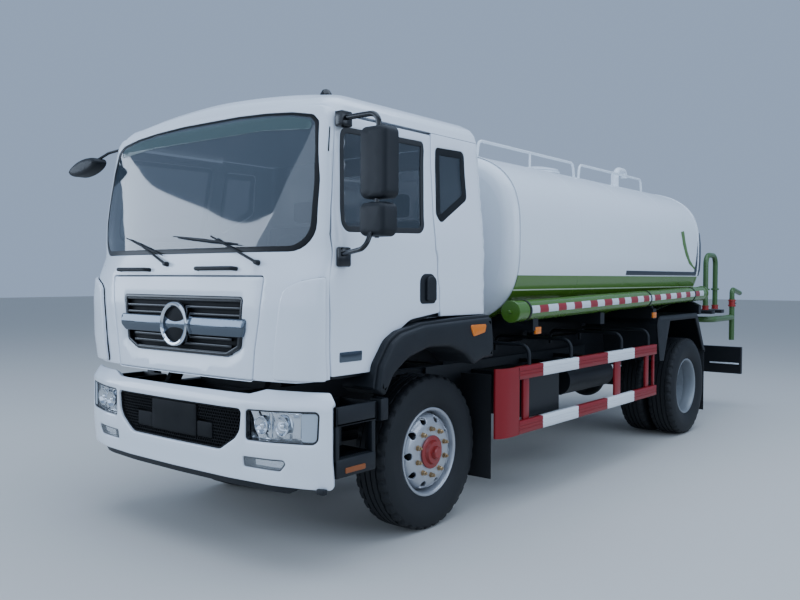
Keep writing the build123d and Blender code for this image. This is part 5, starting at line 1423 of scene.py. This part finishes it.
@dataclass
class Wheels:
    """Tyres, rims, discs, hubs and nuts of the four corners."""

    radius: float = 525.0
    half: float = 142.0
    front_y: float = 917.0
    rear_y: float = 1075.0
    spacing: float = 320.0
    wheelbase: float = 4500.0
    tread_blocks: int = 36
    bolt_ring: float = 157.0
    hand_holes: int = 10
    nuts: int = 10

    def tyre(self, x: float, y: float) -> Form:
        """A tyre with ribbed side walls, four tread grooves and notched shoulders."""
        r, h = self.radius, self.half
        side = [(102, 287), (104, 299), (110, 306), (122, 322), (134, 352), (140, 384), (h - 0.5, 412), (h, 424),
                (h - 0.5, 436), (139, 452), (134, 474), (128, 492), (124, 499), (126, 503), (118, 514), (108, r - 4)]
        tread = [(96, r - 1.5), (74, r - 0.6), (73, r - 13), (64, r - 13), (63, r - 0.4), (28, r), (27, r - 13),
                 (18, r - 13), (17, r)]
        half = side + tread
        profile = half + [(-a, b) for a, b in reversed(half)] + [(-96, 282), (96, 282)]
        shoulder = [k for k, (a, b) in enumerate(profile) if 499 < b < r - 1 and 100 < abs(a) < 127]

        def notch(angles: Array, row: int) -> Array:
            """The cuts of the shoulder and tread blocks."""
            blocks = np.sin(angles * self.tread_blocks)
            if row in shoulder:
                return -14 * smooth((blocks - 0.3) * 3)
            if profile[row][1] > r - 2 and abs(profile[row][0]) > 70:
                return -9 * smooth((blocks - 0.5) * 4)
            return np.zeros_like(angles)

        return lathe(profile, (x, y, r), "Y", self.tread_blocks * 8, waves=notch)

    def rim(self, x: float, y: float) -> Form:
        """A rim's well and flanges."""
        profile = [(-113, 291), (-111, 299), (-104, 302), (-99, 296), (-99, 286), (-60, 281), (-20, 272), (20, 272),
                   (60, 281), (99, 286), (99, 296), (104, 302), (111, 299), (113, 291), (110, 284), (100, 277),
                   (62, 273), (22, 264), (-22, 264), (-62, 273), (-100, 277), (-110, 284)]
        return lathe(profile, (x, y, self.radius), "Y", 120)

    def disc(self, x: float, y: float, facing: int, depth: float) -> Form:
        """A dished disc with ten round hand holes; it bulges towards facing."""
        dish = np.array([(60, depth), (172, depth), (205, depth * 0.97), (240, depth * 0.85), (256, depth * 0.6),
                        (266, depth * 0.25), (272, 0)])

        def surface(a: Array, b: Array) -> tuple[Array, Array]:
            """Points and outward normals."""
            reach = np.hypot(a, b)
            level = np.interp(reach, dish[:, 0], dish[:, 1])
            slope = (np.interp(reach + 2, dish[:, 0], dish[:, 1]) - np.interp(reach - 2, dish[:, 0], dish[:, 1])) / 4
            safe = np.maximum(reach, 1e-6)
            normal = unit(np.stack([-slope * a / safe, np.full_like(a, 1), -slope * b / safe], 1))
            normal[:, 1] *= facing
            return np.stack([x + a, y + facing * level, self.radius + b], 1), normal

        holes = [circle(85, 40)]
        for turn in (2 * math.pi * (k + 0.5) / self.hand_holes for k in range(self.hand_holes)):
            holes.append(circle(25, 24, 226 * math.sin(turn), 226 * math.cos(turn)))
        return panel(surface, circle(270, 96), 12, 3, 17, holes)

    def nut(self, x: float, face: float, facing: int) -> Form:
        """One wheel nut with its washer and stud end."""
        rows = []
        for along, size in ((0, 20), (4, 20), (4.1, 15.5), (24, 15.5), (28, 12), (28.1, 9), (36, 8.5)):
            ring = circle(size, 6, x, self.radius + self.bolt_ring)
            rows.append([(a, face + facing * along, b) for a, b in ring])
        return grid(np.array(rows, float), True)

    def corner(self, name: str, x: float, side: int, axle: Axle) -> None:
        """All the pieces of one corner."""
        body = f"wheel_body_{name}"
        outer = side * (self.front_y if axle is Axle.FRONT else self.rear_y)
        tyres = self.tyre(x, outer)
        rims = self.rim(x, outer)
        if axle is Axle.FRONT:
            facing, depth = side, 118
            face = outer + side * depth
            hub_end, paint = 66, WHEEL_SILVER
            discs = self.disc(x, outer, facing, depth)
        else:
            inner = outer - side * self.spacing
            tyres += self.tyre(x, inner)
            rims += self.rim(x, inner)
            discs = self.disc(x, outer, -side, self.spacing / 2) + self.disc(x, inner, side, self.spacing / 2 - 13)
            face = outer - side * (self.spacing / 2 - 13)
            hub_end, paint = 104, WHEEL_GREY
        piece(f"tyre_{name}_rubber", tyres, RUBBER, f"tyre_{name}", body=body, crease=40)
        drum_near = outer - side * (34 if axle is Axle.FRONT else self.spacing + 98)
        drum = [(0, 60), (0, 203), (128, 203), (134, 190), (134, 60)]
        hub = lathe([(a * side, b) for a, b in drum], (x, drum_near, self.radius), "Y", 64)
        piece(f"wheel_{name}_rim", rims + discs, paint, f"wheel_{name}", body=body)
        piece(f"wheel_{name}_drum", hub, CAST_GREY, body=body)
        cap = [(-120, 0.1), (-120, 82), (-2, 82), (0, 110), (10, 112), (14, 106), (16, 84), (hub_end * 0.55, 74),
               (hub_end * 0.6, 46), (hub_end - 6, 40), (hub_end, 32), (hub_end, 0.1)]
        cap = lathe([(a * side, b) for a, b in cap], (x, face, self.radius), "Y", 64)
        piece(f"wheel_{name}_hub", cap, HUB_RED if axle is Axle.FRONT else WHEEL_GREY, body=body)
        repeated(f"wheel_{name}_nuts", self.nut(x, face, side), NUT_GOLD if axle is Axle.FRONT else STEEL, self.nuts,
                 turn=(0, 360 / self.nuts, 0), centre=(x, face, self.radius), body=body)

    def build(self) -> None:
        """Make the four corners."""
        for name, x, side, axle in (("front_left", 0, 1, Axle.FRONT), ("front_right", 0, -1, Axle.FRONT),
                ("rear_left", -self.wheelbase, 1, Axle.REAR), ("rear_right", -self.wheelbase, -1, Axle.REAR)):
            self.corner(name, x, side, axle)


# ---- tank ----
@dataclass
class Tank:
    """The tank's shell with its rounded heads, stripes, lid, vent and handrails."""

    front: float = -880.0
    rear: float = -5035.0
    half: float = 1158.5
    rise: float = 718.5
    level: float = 2010.0
    power: float = 3.1

    def ring(self, x: float, shrink: float) -> Array:
        """One closed section of the shell."""
        angles = turns(144)
        c, s = np.cos(angles), np.sin(angles)
        y = (self.half - shrink) * np.sign(c) * np.abs(c) ** (2 / self.power)
        z = (self.rise - shrink) * np.sign(s) * np.abs(s) ** (2 / self.power)
        return np.stack([np.full_like(y, x), y, self.level + z], 1)

    def shell(self) -> Form:
        """The shell, with three faint weld seams round it."""
        ends = [(0, 122), (1, 116), (6, 96), (14, 72), (26, 50), (42, 33), (60, 19), (82, 8), (110, 0), (112, 0)]
        stations = [(self.front - a, s) for a, s in ends]
        for seam in (-1980, -2955, -3960):
            stations += [(seam + 11, 0), (seam + 10, 0), (seam + 4, -1.4), (seam - 4, -1.4), (seam - 10, 0),
                         (seam - 11, 0)]
        stations += [(self.rear + a, s) for a, s in reversed(ends)]
        return grid(np.array([self.ring(x, s) for x, s in sorted(stations, reverse=True)]), True)

    def on_side(self, push: float) -> Surface:
        """The shell's left side as a surface of (x, z)."""
        def surface(a: Array, b: Array) -> tuple[Array, Array]:
            """Points and outward normals."""
            share = (b - self.level) / self.rise
            y = self.half * np.maximum(1 - np.abs(share) ** self.power, 1e-6) ** (1 / self.power)
            slope = -np.sign(share) * np.abs(share) ** (self.power - 1) * self.half / self.rise * (
                np.maximum(y / self.half, 1e-3) ** (1 - self.power))
            normal = unit(np.stack([np.zeros_like(a), np.ones_like(a), -slope], 1))
            return np.stack([a, y, b], 1) + normal * push, normal

        return surface

    def stripes(self) -> None:
        """The vinyl stripes of both sides."""
        dark = panel(self.on_side(2.2), [(-2953, 1736), (-2953, 1779), (-5000, 1779), (-5000, 1736)], 1, 0.3, 70)
        corner = [(-4826, 1779), (-4898, 2080), (-4915, 2220), (-4980, 2225), (-5004, 2100), (-5010, 1779)]
        dark += panel(self.on_side(2.4), corner, 1, 0.3, 50)
        swoosh = [(-4384, 2209), (-4430, 2080), (-4520, 1960), (-4640, 1868), (-4810, 1811), (-4905, 1795),
                  (-4905, 1812), (-4780, 1846), (-4660, 1910), (-4570, 2010), (-4505, 2120), (-4481, 2224)]
        green = panel(self.on_side(2.2), swoosh, 1, 0.3, 40)
        piece("tank_dark_stripes", dark.both(), DARK_STRIPE)
        piece("tank_green_swooshes", green.both(), GREEN_STRIPE)

    def rails(self) -> Form:
        """Two handrails on each side of the roof."""
        made = Form()
        for start, end in ((-1351, -3141), (-3230, -4870)):
            corners = [(start, 500, 2700), (start - 30, 500, 2867), (end + 30, 500, 2867), (end, 500, 2700)]
            made += tube(corners, 13, 60, 16)
            middle = (start + end) / 2
            made += tube([(middle, 500, 2700), (middle, 500, 2866)], 11, 10, 14)
        return made.both()

    def ladder(self) -> Form:
        """The ladder on the rear head."""
        made = Form()
        for y in (-880, -520):
            made += tube([(-5125, y, 1330), (-5125, y, 2440), (-5040, y, 2500)], 16, 50, 14)
        for z in (1500, 1790, 2080, 2370):
            made += tube([(-5125, -880, z), (-5125, -520, z)], 13, 5, 12)
        return made

    def build(self) -> None:
        """Make the tank's pieces."""
        skin = solid("tank_skin", self.shell(), TANK_PAINT)
        skin.data.materials.append(HEAD_WHITE.material())
        for face in skin.data.polygons:
            across = face.center.x - AXLE_X
            face.material_index = int(across > (self.front - 111) * MM or across < (self.rear + 20) * MM)
        seat(skin, "chassis", ["tank_shell"])
        for name, x in (("front", -985), ("rear", -4925)):
            section = ((22, 0.2), (20, 3), (-20, 3), (-22, 0.2), (-22, -3), (22, -3), (22, 0.2))
            band = np.array([self.ring(x + a, -s) for a, s in section])
            piece(f"tank_band_{name}", grid(band, True, caps=False), TANK_PAINT)
        self.stripes()
        piece("roof_handrails", self.rails(), RAIL_WHITE, "handrails", slot="rail_white")
        piece("tank_ladder", self.ladder(), RAIL_WHITE, slot="rail_white")
        neck = lathe([(2700, 238), (2700, 244), (2818, 244), (2820, 252), (2800, 252), (2800, 262), (2820, 262),
                     (2822, 238)], (-3229, 0, 0), "Z", 72)
        piece("manhole_neck", neck, RAIL_WHITE, "tank_top_fittings")
        vent = tube([(-4530, 330, 2680), (-4530, 330, 2964), (-4762, 330, 2964), (-4762, 330, 2882)], 37, 90, 28)
        vent += lathe([(2690, 30), (2690, 62), (2712, 62), (2712, 30)], (-4530, 330, 0), "Z", 36)
        piece("tank_vent", vent, RAIL_WHITE)
        lid = lathe([(2823, 0.1), (2823, 240), (2828, 248), (2842, 248), (2846, 240), (2858, 190), (2876, 110),
                    (2888, 30), (2889, 0.1)], (-3229, 0, 0), "Z", 72)
        piece("manhole_cover", lid, RAIL_WHITE, "manhole_lid", body="manhole")


# ---- the sides ----
@dataclass
class Sides:
    """The long hose tubes, guard rails, hoops, mudguards and marker lamps of both sides."""

    tube_radius: float = 79.0
    front: Point = (-812.0, 1165.0, 1455.0)
    rear: Point = (-5034.0, 1165.0, 1535.0)
    nose: tuple[Pair, ...] = ((-552, -50), (-580, -28), (-615, -12), (-650, -4), (-690, 0))

    def along(self, x: float, y: float = 0.0, z: float = 0.0) -> Point:
        """A point beside the tube's middle line."""
        share = (x - self.front[0]) / (self.rear[0] - self.front[0])
        return x, self.front[1] + y, self.front[2] + share * (self.rear[2] - self.front[2]) + z

    def collar(self, start: float, end: float, grow: float, sweep: Pair = (0.0, 360.0), thick: float = 3.0) -> Form:
        """A sleeve, or part of one, on the tube."""
        whole = sweep[1] - sweep[0] >= 360
        angles = np.radians(np.linspace(*sweep, 49)[:-1] if whole else np.linspace(*sweep, 25))
        rows = []
        for x in (start, end):
            for size in ((self.tube_radius + grow, self.tube_radius + grow - thick) if x == end else
                         (self.tube_radius + grow - thick, self.tube_radius + grow)):
                rows.append([self.along(x, size * math.sin(a), size * math.cos(a)) for a in angles])
        rows = np.array(rows, float)
        if whole:
            return grid(np.vstack([rows, rows[:1]]), True, caps=False)
        return grid(np.swapaxes(rows, 0, 1), True)

    def tubes(self) -> None:
        """The hose tubes with their straps, caps and reflective tape."""
        body = tube([self.front, self.rear], self.tube_radius, 10, 56)
        piece("hose_tubes", body.both(), GREEN_PAINT, "side_tubes")
        straps, caps = Form(), Form()
        for x in (-982, -3345, -4600):
            straps += self.collar(x + 12, x - 12, 4, thick=5)
        for x, way in ((self.front[0], 1), (self.rear[0], -1)):
            place = self.along(x)
            rings = [(-36, 76), (-36, 83), (-3, 83), (1, 79), (1, 0.1)]
            caps += lathe([(a * way, b) for a, b in rings], place, "X", 56)
            caps += lathe([(a * way, b) for a, b in ((0, 0.1), (0, 13), (20, 12), (24, 8), (24, 0.1))],
                         (place[0] + way * 0.5, place[1], place[2]), "X", 24)
        piece("tube_straps", straps.both(), CHASSIS_BLACK, slot="steel")
        piece("tube_caps", caps.both(), GREEN_PAINT)
        tape = self.collar(-1004, -4880, 1, (62, 104), thick=1)
        piece("tube_tape", tape.both(), TAPE)

    def guards(self) -> None:
        """The two-bar side guards with their grooved faces."""
        def bar(z: float) -> Form:
            """One grooved bar."""
            section = [(1210, z + 4), (1214, z), (1246, z), (1250, z + 4), (1250, z + 33), (1247, z + 35),
                       (1247, z + 38), (1250, z + 40), (1250, z + 58), (1247, z + 60), (1247, z + 63), (1250, z + 65),
                       (1250, z + 94), (1246, z + 98), (1214, z + 98), (1210, z + 94)]
            return grid(np.array([[(x, a, b) for a, b in section] for x in (-800, -1185, -3478)], float), True)

        guard = bar(545) + bar(952)
        line = [(x, 1250 + y) for x, y in self.nose] + [(-807, 1250)]
        line += [(x, y - 14) for x, y in reversed(line)]
        plate = grid(np.array([[(x, y, z) for x, y in line] for z in (545, 1050)]), True)
        piece("side_guard_bars", guard.both(), GUARD_PAINT, "side_guards", crease=50)
        piece("side_guard_plates", plate.both(), GUARD_RED)
        posts = Form()
        for x0, x1 in ((-904, -991), (-2539, -2666), (-3250, -3330), (-3440, -3480)):
            posts += block(x0, x1, 1206, 1228, 640, 955, 6)
        piece("side_guard_posts", posts.both(), GUARD_RED)
        arms = Form()
        for x in (-986, -1675, -2678, -3313):
            arms += tube([(x, 1225, 1045), (x, 1225, 1200), (x, 495, 1200), (x, 495, 1072)], 15, 200, 18)
        # a flat dark sheet the size of the guard, inboard at the frame: painted shade under the tank, seen between the
        # bars
        arms += block(-700, -3500, 456, 464, 600, 1000, 3)
        piece("guard_hoops_and_painted_shade_sheet", arms.both(), PLASTIC_BLACK, "guard_brackets", slot="chassis_black")

    def guards_at_wheels(self) -> None:
        """The rear mudguards with their flaps, and the front flaps."""
        outer = [(-3684, 863), (-3605, 1230), (-3640, 1320), (-4787, 1320), (-5062, 880)]
        line = path_line([(x, 0, z) for x, z in outer], 70, 8)
        rows = []
        for index, (x, _, z) in enumerate(line):
            ahead = line[min(index + 1, len(line) - 1)] - line[max(index - 1, 0)]
            normal = np.array([-ahead[2], 0, ahead[0]])
            normal /= np.linalg.norm(normal)
            inner = np.array([x, 0, z]) + normal * 8
            rows.append([(x, 604, z), (x, 1200, z), (inner[0], 1200, inner[2]), (inner[0], 604, inner[2])])
        shell = grid(np.array(rows, float), True)
        lips = panel(plane("Y", 1203.5), [(p[0], p[2]) for p in line] + [(-5000, 884), (-4735, 1262), (-3964, 1262),
                     (-3791, 858)], 16, 5, 60)
        flap = block(-5048, -5060, 612, 1196, 192, 900, 3) + block(-5044, -5064, 600, 1204, 860, 906, 4)
        front = block(-601, -611, 864, 1130, 236, 1000, 3)
        piece("mudguards_rear", (shell + lips).both(), PLASTIC_BLACK, "mudguards", crease=50)
        piece("mud_flaps", (flap + front).both(), RUBBER, slot="black_plastic")
        tops = panel(plane("Y", 1205.5), [(-3668, 1306), (-4782, 1306), (-4776, 1284), (-3672, 1284)], 3, 1, 80)
        piece("mudguard_edge_strips", tops.both(), CAST_GREY, slot="black_plastic")

    def lamps(self) -> None:
        """The amber side lamps on small brackets."""
        lenses, holders = Form(), Form()
        for x, z in ((-1152, 1301), (-3513, 1338)):
            lenses += block(x - 44, x + 44, 1196, 1214, z - 27, z + 27, 8)
            holders += block(x - 48, x + 48, 1184, 1198, z - 31, z + 31, 5)
            holders += block(x - 16, x + 16, 1150, 1186, z - 6, z + 110, 4)
        piece("side_lamp_lenses", lenses.both(), AMBER)
        piece("side_lamp_brackets", holders.both(), PLASTIC_BLACK)

    def build(self) -> None:
        """Make both sides' pieces."""
        self.tubes()
        self.guards()
        self.guards_at_wheels()
        self.lamps()


# ---- the rear ----
@dataclass
class RearGear:
    """The pump's pipes, valves, deck, rear bumper and its lamps."""

    risers: Pair = (-5679.0, -6037.0)

    def build(self) -> None:
        """Make the rear pieces."""
        frames, valves, spindles = Form(), Form(), Form()
        for y in (1000, -1000):
            frames += tube([(self.risers[0], y, 1321), (self.risers[0], y, 1992), (self.risers[1], y, 1992),
                           (self.risers[1], y, 1321)], 31, 110, 28)
            for x in self.risers:
                valves += lathe([(1322, 33), (1322, 42), (1332, 42), (1332, 38), (1362, 38), (1362, 42), (1374, 42),
                                (1374, 33)], (x, y, 0), "Z", 32)
                frames += lathe([(1560, 30), (1560, 48), (1582, 48), (1582, 30)], (x, y, 0), "Z", 32)
        piece("sprinkler_frames", frames, PIPE_GREEN, "rear_pipework")
        low, beaks = Form(), Form()
        for side in (1, -1):
            low += tube([(-5640, 300 * side, 1200), (-5760, 1050 * side, 1200), (-6550, 1050 * side, 1200)], 37,
                        120, 24)
            low += tube([(-6570, 1050 * side, 904), (-6570, 1050 * side, 1450)], 33.5, 10, 24)
            beaks += tube([(-6570, 1050 * side, 1440), (-6570, 1050 * side, 1566), (-6900, 1050 * side, 1511)], 31.5,
                          45, 24)
            valves += lathe([(1340, 33), (1340, 47), (1362, 47), (1362, 40), (1410, 40), (1410, 47), (1430, 47),
                            (1430, 33)], (-6570, 1050 * side, 0), "Z", 32)
            spindles += tube([(-6570, 1080 * side, 1385), (-6570, 1104 * side, 1385)], 9, 5, 12)
        piece("low_pipes", low, PIPE_GREEN)
        piece("duckbill_nozzles", beaks, PIPE_GREEN)
        piece("valve_bodies", valves, VALVE_RED)
        piece("valve_spindles", spindles, STEEL)
        lens = Form()
        for y in (745, 850, 955, 1060):
            lens += lathe([(-6621, 36), (-6621, 45), (-6632, 46), (-6640, 38), (-6643, 0.1)], (0, y, 638), "X", 36)
        piece("rear_lamp_lenses", lens.both(), LAMP_RED, "marker_lamps")
        strip = total(block(-6552, -6560, 780 * side, 1150 * side, 587, 605, 2) for side in (1, -1))
        piece("rear_bumper_strips", strip, RAIL_WHITE, slot="steel")
        deck = block(-5097, -6198, -640, 640, 1272, 1318, 4)
        for x in self.risers:
            deck += block(x - 60, x + 60, -1098, 1098, 1274, 1316, 4)
        piece("rear_deck", deck, CHASSIS_BLACK, "rear_platform")


# ---- inside the cab ----
@dataclass
class Interior:
    """The seats, dashboard and steering wheel, seen through the glass."""

    seats: tuple[Pair, ...] = ((480.0, 265.0), (-420.0, 415.0))
    pad_reach: Pair = (-190.0, 258.0)
    pad_height: Pair = (1490.0, 1636.0)

    def cushion(self, name: str, y: float, half: float, nodes: Sequence[str]) -> None:
        """One soft pad with a crowned top, standing for the nodes."""
        (x0, x1), (z0, z1) = self.pad_reach, self.pad_height
        columns, rows = 18, 14
        across = np.linspace(-1, 1, columns)
        along = np.linspace(-1, 1, rows)
        top = []
        for v in along:
            line = []
            for u in across:
                crown = (1 - abs(u) ** 3.4) * (1 - abs(v) ** 3.4)
                line.append(((x0 + x1) / 2 + v * (x1 - x0) / 2, y + u * half, z0 + (z1 - z0)
                            * (0.35 + 0.65 * crown ** 0.5)))
            top.append(line)
        top_grid = np.array(top, float)
        low = top_grid.copy()
        low[..., 2] = z0
        form = grid(top_grid, False) + grid(low, False).flipped()
        count = rows * columns
        rim = ([(0, c) for c in range(columns)] + [(r, columns - 1) for r in range(1, rows)] +
               [(rows - 1, c) for c in range(columns - 2, -1, -1)] + [(r, 0) for r in range(rows - 2, 0, -1)])
        ids = [r * columns + c for r, c in rim]
        for a, b in zip(ids, ids[1:] + ids[:1]):
            form.faces.append((b, a, a + count, b + count))
        piece(name, form, CLOTH, *nodes, body="cab", crease=60)

    def backrest(self, y: float, half: float) -> Form:
        """One backrest with rolled edges."""
        made = block(-262, -158, y - half, y + half, 1600, 2120, 34)
        return made.turned("Y", -7, (-210, y, 1600)) + block(-316, -226, y - 130, y + 130, 2150, 2318, 30)

    def build(self) -> None:
        """Make the cab's inside pieces."""
        for index, (y, half) in enumerate(self.seats):
            self.cushion(f"seat_cushion_{index}", y, half, () if index else ("seats",))
        backs = total(self.backrest(y, half) for y, half in self.seats)
        piece("seat_backs", backs, CLOTH, body="cab")
        dash = [(1296, 1504, 20), (1296, 1786, 20), (824, 1796, 40), (764, 1700, 30), (862, 1504, 20)]

        def profile(a: Array, b: Array) -> tuple[Array, Array]:
            """Points and outward normals."""
            normal = np.zeros((len(a), 3))
            normal[:, 1] = 1
            return np.stack([np.minimum(a, 1190), np.full_like(a, 996), b], 1), normal

        piece("dash_moulding", panel(profile, rounded(dash), 1992, 10, 80), INTERIOR, "dashboard", body="cab")
        rim = lathe([(16 * math.cos(t), 225 + 16 * math.sin(t)) for t in np.linspace(2 * math.pi, 0, 13)[:-1]],
                    (0, 0, 0), "Z", 48)
        spokes = total(block(0, 212, -11, 11, -8, 6, 4).turned("Z", turn, (0, 0, 0)) for turn in (20, 160, 270))
        hub = lathe([(-14, 0.1), (-14, 52), (4, 56), (12, 44), (12, 0.1)], (0, 0, 0), "Z", 32)
        wheel = (rim + spokes + hub).turned("Y", -48.6, (0, 0, 0)).moved(630, 480, 1800)
        column = tube([(800, 480, 1640), (640, 480, 1788)], 24, 5, 16)
        piece("steering_wheel", wheel + column, GLOSS_BLACK, body="cab")


# ---- the studio ----
@dataclass
class Studio:
    """The floor, soft lights and camera."""

    place: Point = (4.40287, 4.29539, 1.70935)
    right: Point = (-0.62598044, 0.77983315, 0.002958)
    above: Point = (-0.02007496, -0.01990599, 0.99960029)
    ahead: Point = (-0.77958033, -0.62567085, -0.02811588)
    lens: float = 36.481

    def lamp(self, name: str, place: Point, size: Pair, power: float, aim: Point) -> None:
        """One soft rectangular light, aimed at a point."""
        data = bpy.data.lights.new(name, "AREA")
        data.shape, data.size, data.size_y, data.energy = "RECTANGLE", size[0], size[1], power
        data.color = (0.68, 0.81, 1)
        made = bpy.data.objects.new(name, data)
        made.location = place
        made.rotation_euler = (Vector(aim) - Vector(place)).to_track_quat("-Z", "Y").to_euler()
        bpy.context.scene.collection.objects.link(made)

    def build(self) -> None:
        """Set the stage."""
        mesh = bpy.data.meshes.new("studio_floor")
        mesh.from_pydata([(-60, -60, 0), (60, -60, 0), (60, 60, 0), (-60, 60, 0)], [], [(0, 1, 2, 3)])
        mesh.materials.append(Finish("studio_floor_matt", "#C9C6C0", Texture.CLEAR, 0.8, mottle=0.02).material())
        floor = bpy.data.objects.new("studio_floor", mesh)
        bpy.context.scene.collection.objects.link(floor)
        aim = (AXLE_X - 2, 0, 1.3)
        self.lamp("sky_panel", (AXLE_X - 1, 2, 9.5), (14, 9), 950, aim)
        self.lamp("side_panel", (AXLE_X - 2, 11, 4.5), (12, 5), 430, aim)
        self.lamp("front_panel", (AXLE_X + 10.5, 1, 5.5), (16, 8), 420, aim)
        self.lamp("front_card", (AXLE_X + 9.5, -12.2, 4.5), (10, 6.5), 900, aim)
        world = bpy.data.worlds.new("studio_sky")
        world.use_nodes = True
        world.node_tree.nodes["Background"].inputs[0].default_value = linear("#B4CCEE")
        world.node_tree.nodes["Background"].inputs[1].default_value = 0.7
        bpy.context.scene.world = world
        data = bpy.data.cameras.new("studio_camera")
        data.lens, data.sensor_width, data.sensor_fit = self.lens, 36, "HORIZONTAL"
        camera = bpy.data.objects.new("studio_camera", data)
        turn = Matrix((self.right, self.above, tuple(-v for v in self.ahead))).transposed().to_4x4()
        camera.matrix_world = Matrix.Translation((self.place[0] + AXLE_X, self.place[1], self.place[2])) @ turn
        bpy.context.scene.collection.objects.link(camera)
        bpy.context.scene.camera = camera


def chassis() -> None:
    """Finish the CAD nodes that stay as they are."""
    members = {CHASSIS_BLACK: ("frame_rails", "front_axle", "rear_axle", "leaf_springs", "battery_and_air_tanks",
               "tank_cradle", "cab_floor", "rear_bumper"), CAST_GREY: ("engine_block", "knuckle_left", "knuckle_right",
               "water_pump"), PLASTIC_BLACK: ("radiator",), STEEL: ("propshaft",), ALLOY: ("exhaust", "fuel_tank")}
    for finish, nodes in members.items():
        for node in nodes:
            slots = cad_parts[node].data.materials
            slots.clear()
            slots.append(finish.material())


def main() -> None:
    """Build every piece, log each one's face count and finish the scene."""
    logging.basicConfig(level=logging.INFO, format="%(name)s %(message)s")
    chassis()
    for maker in (Cab(), Doors(), FrontFlap(), ScreenGear(), Flares(), Bumper(), Wheels(), Tank(), Sides(), RearGear(),
                  Interior(), Studio()):
        maker.build()
        LOG.info("%s done", type(maker).__name__)


if __name__ == "__main__":
    main()
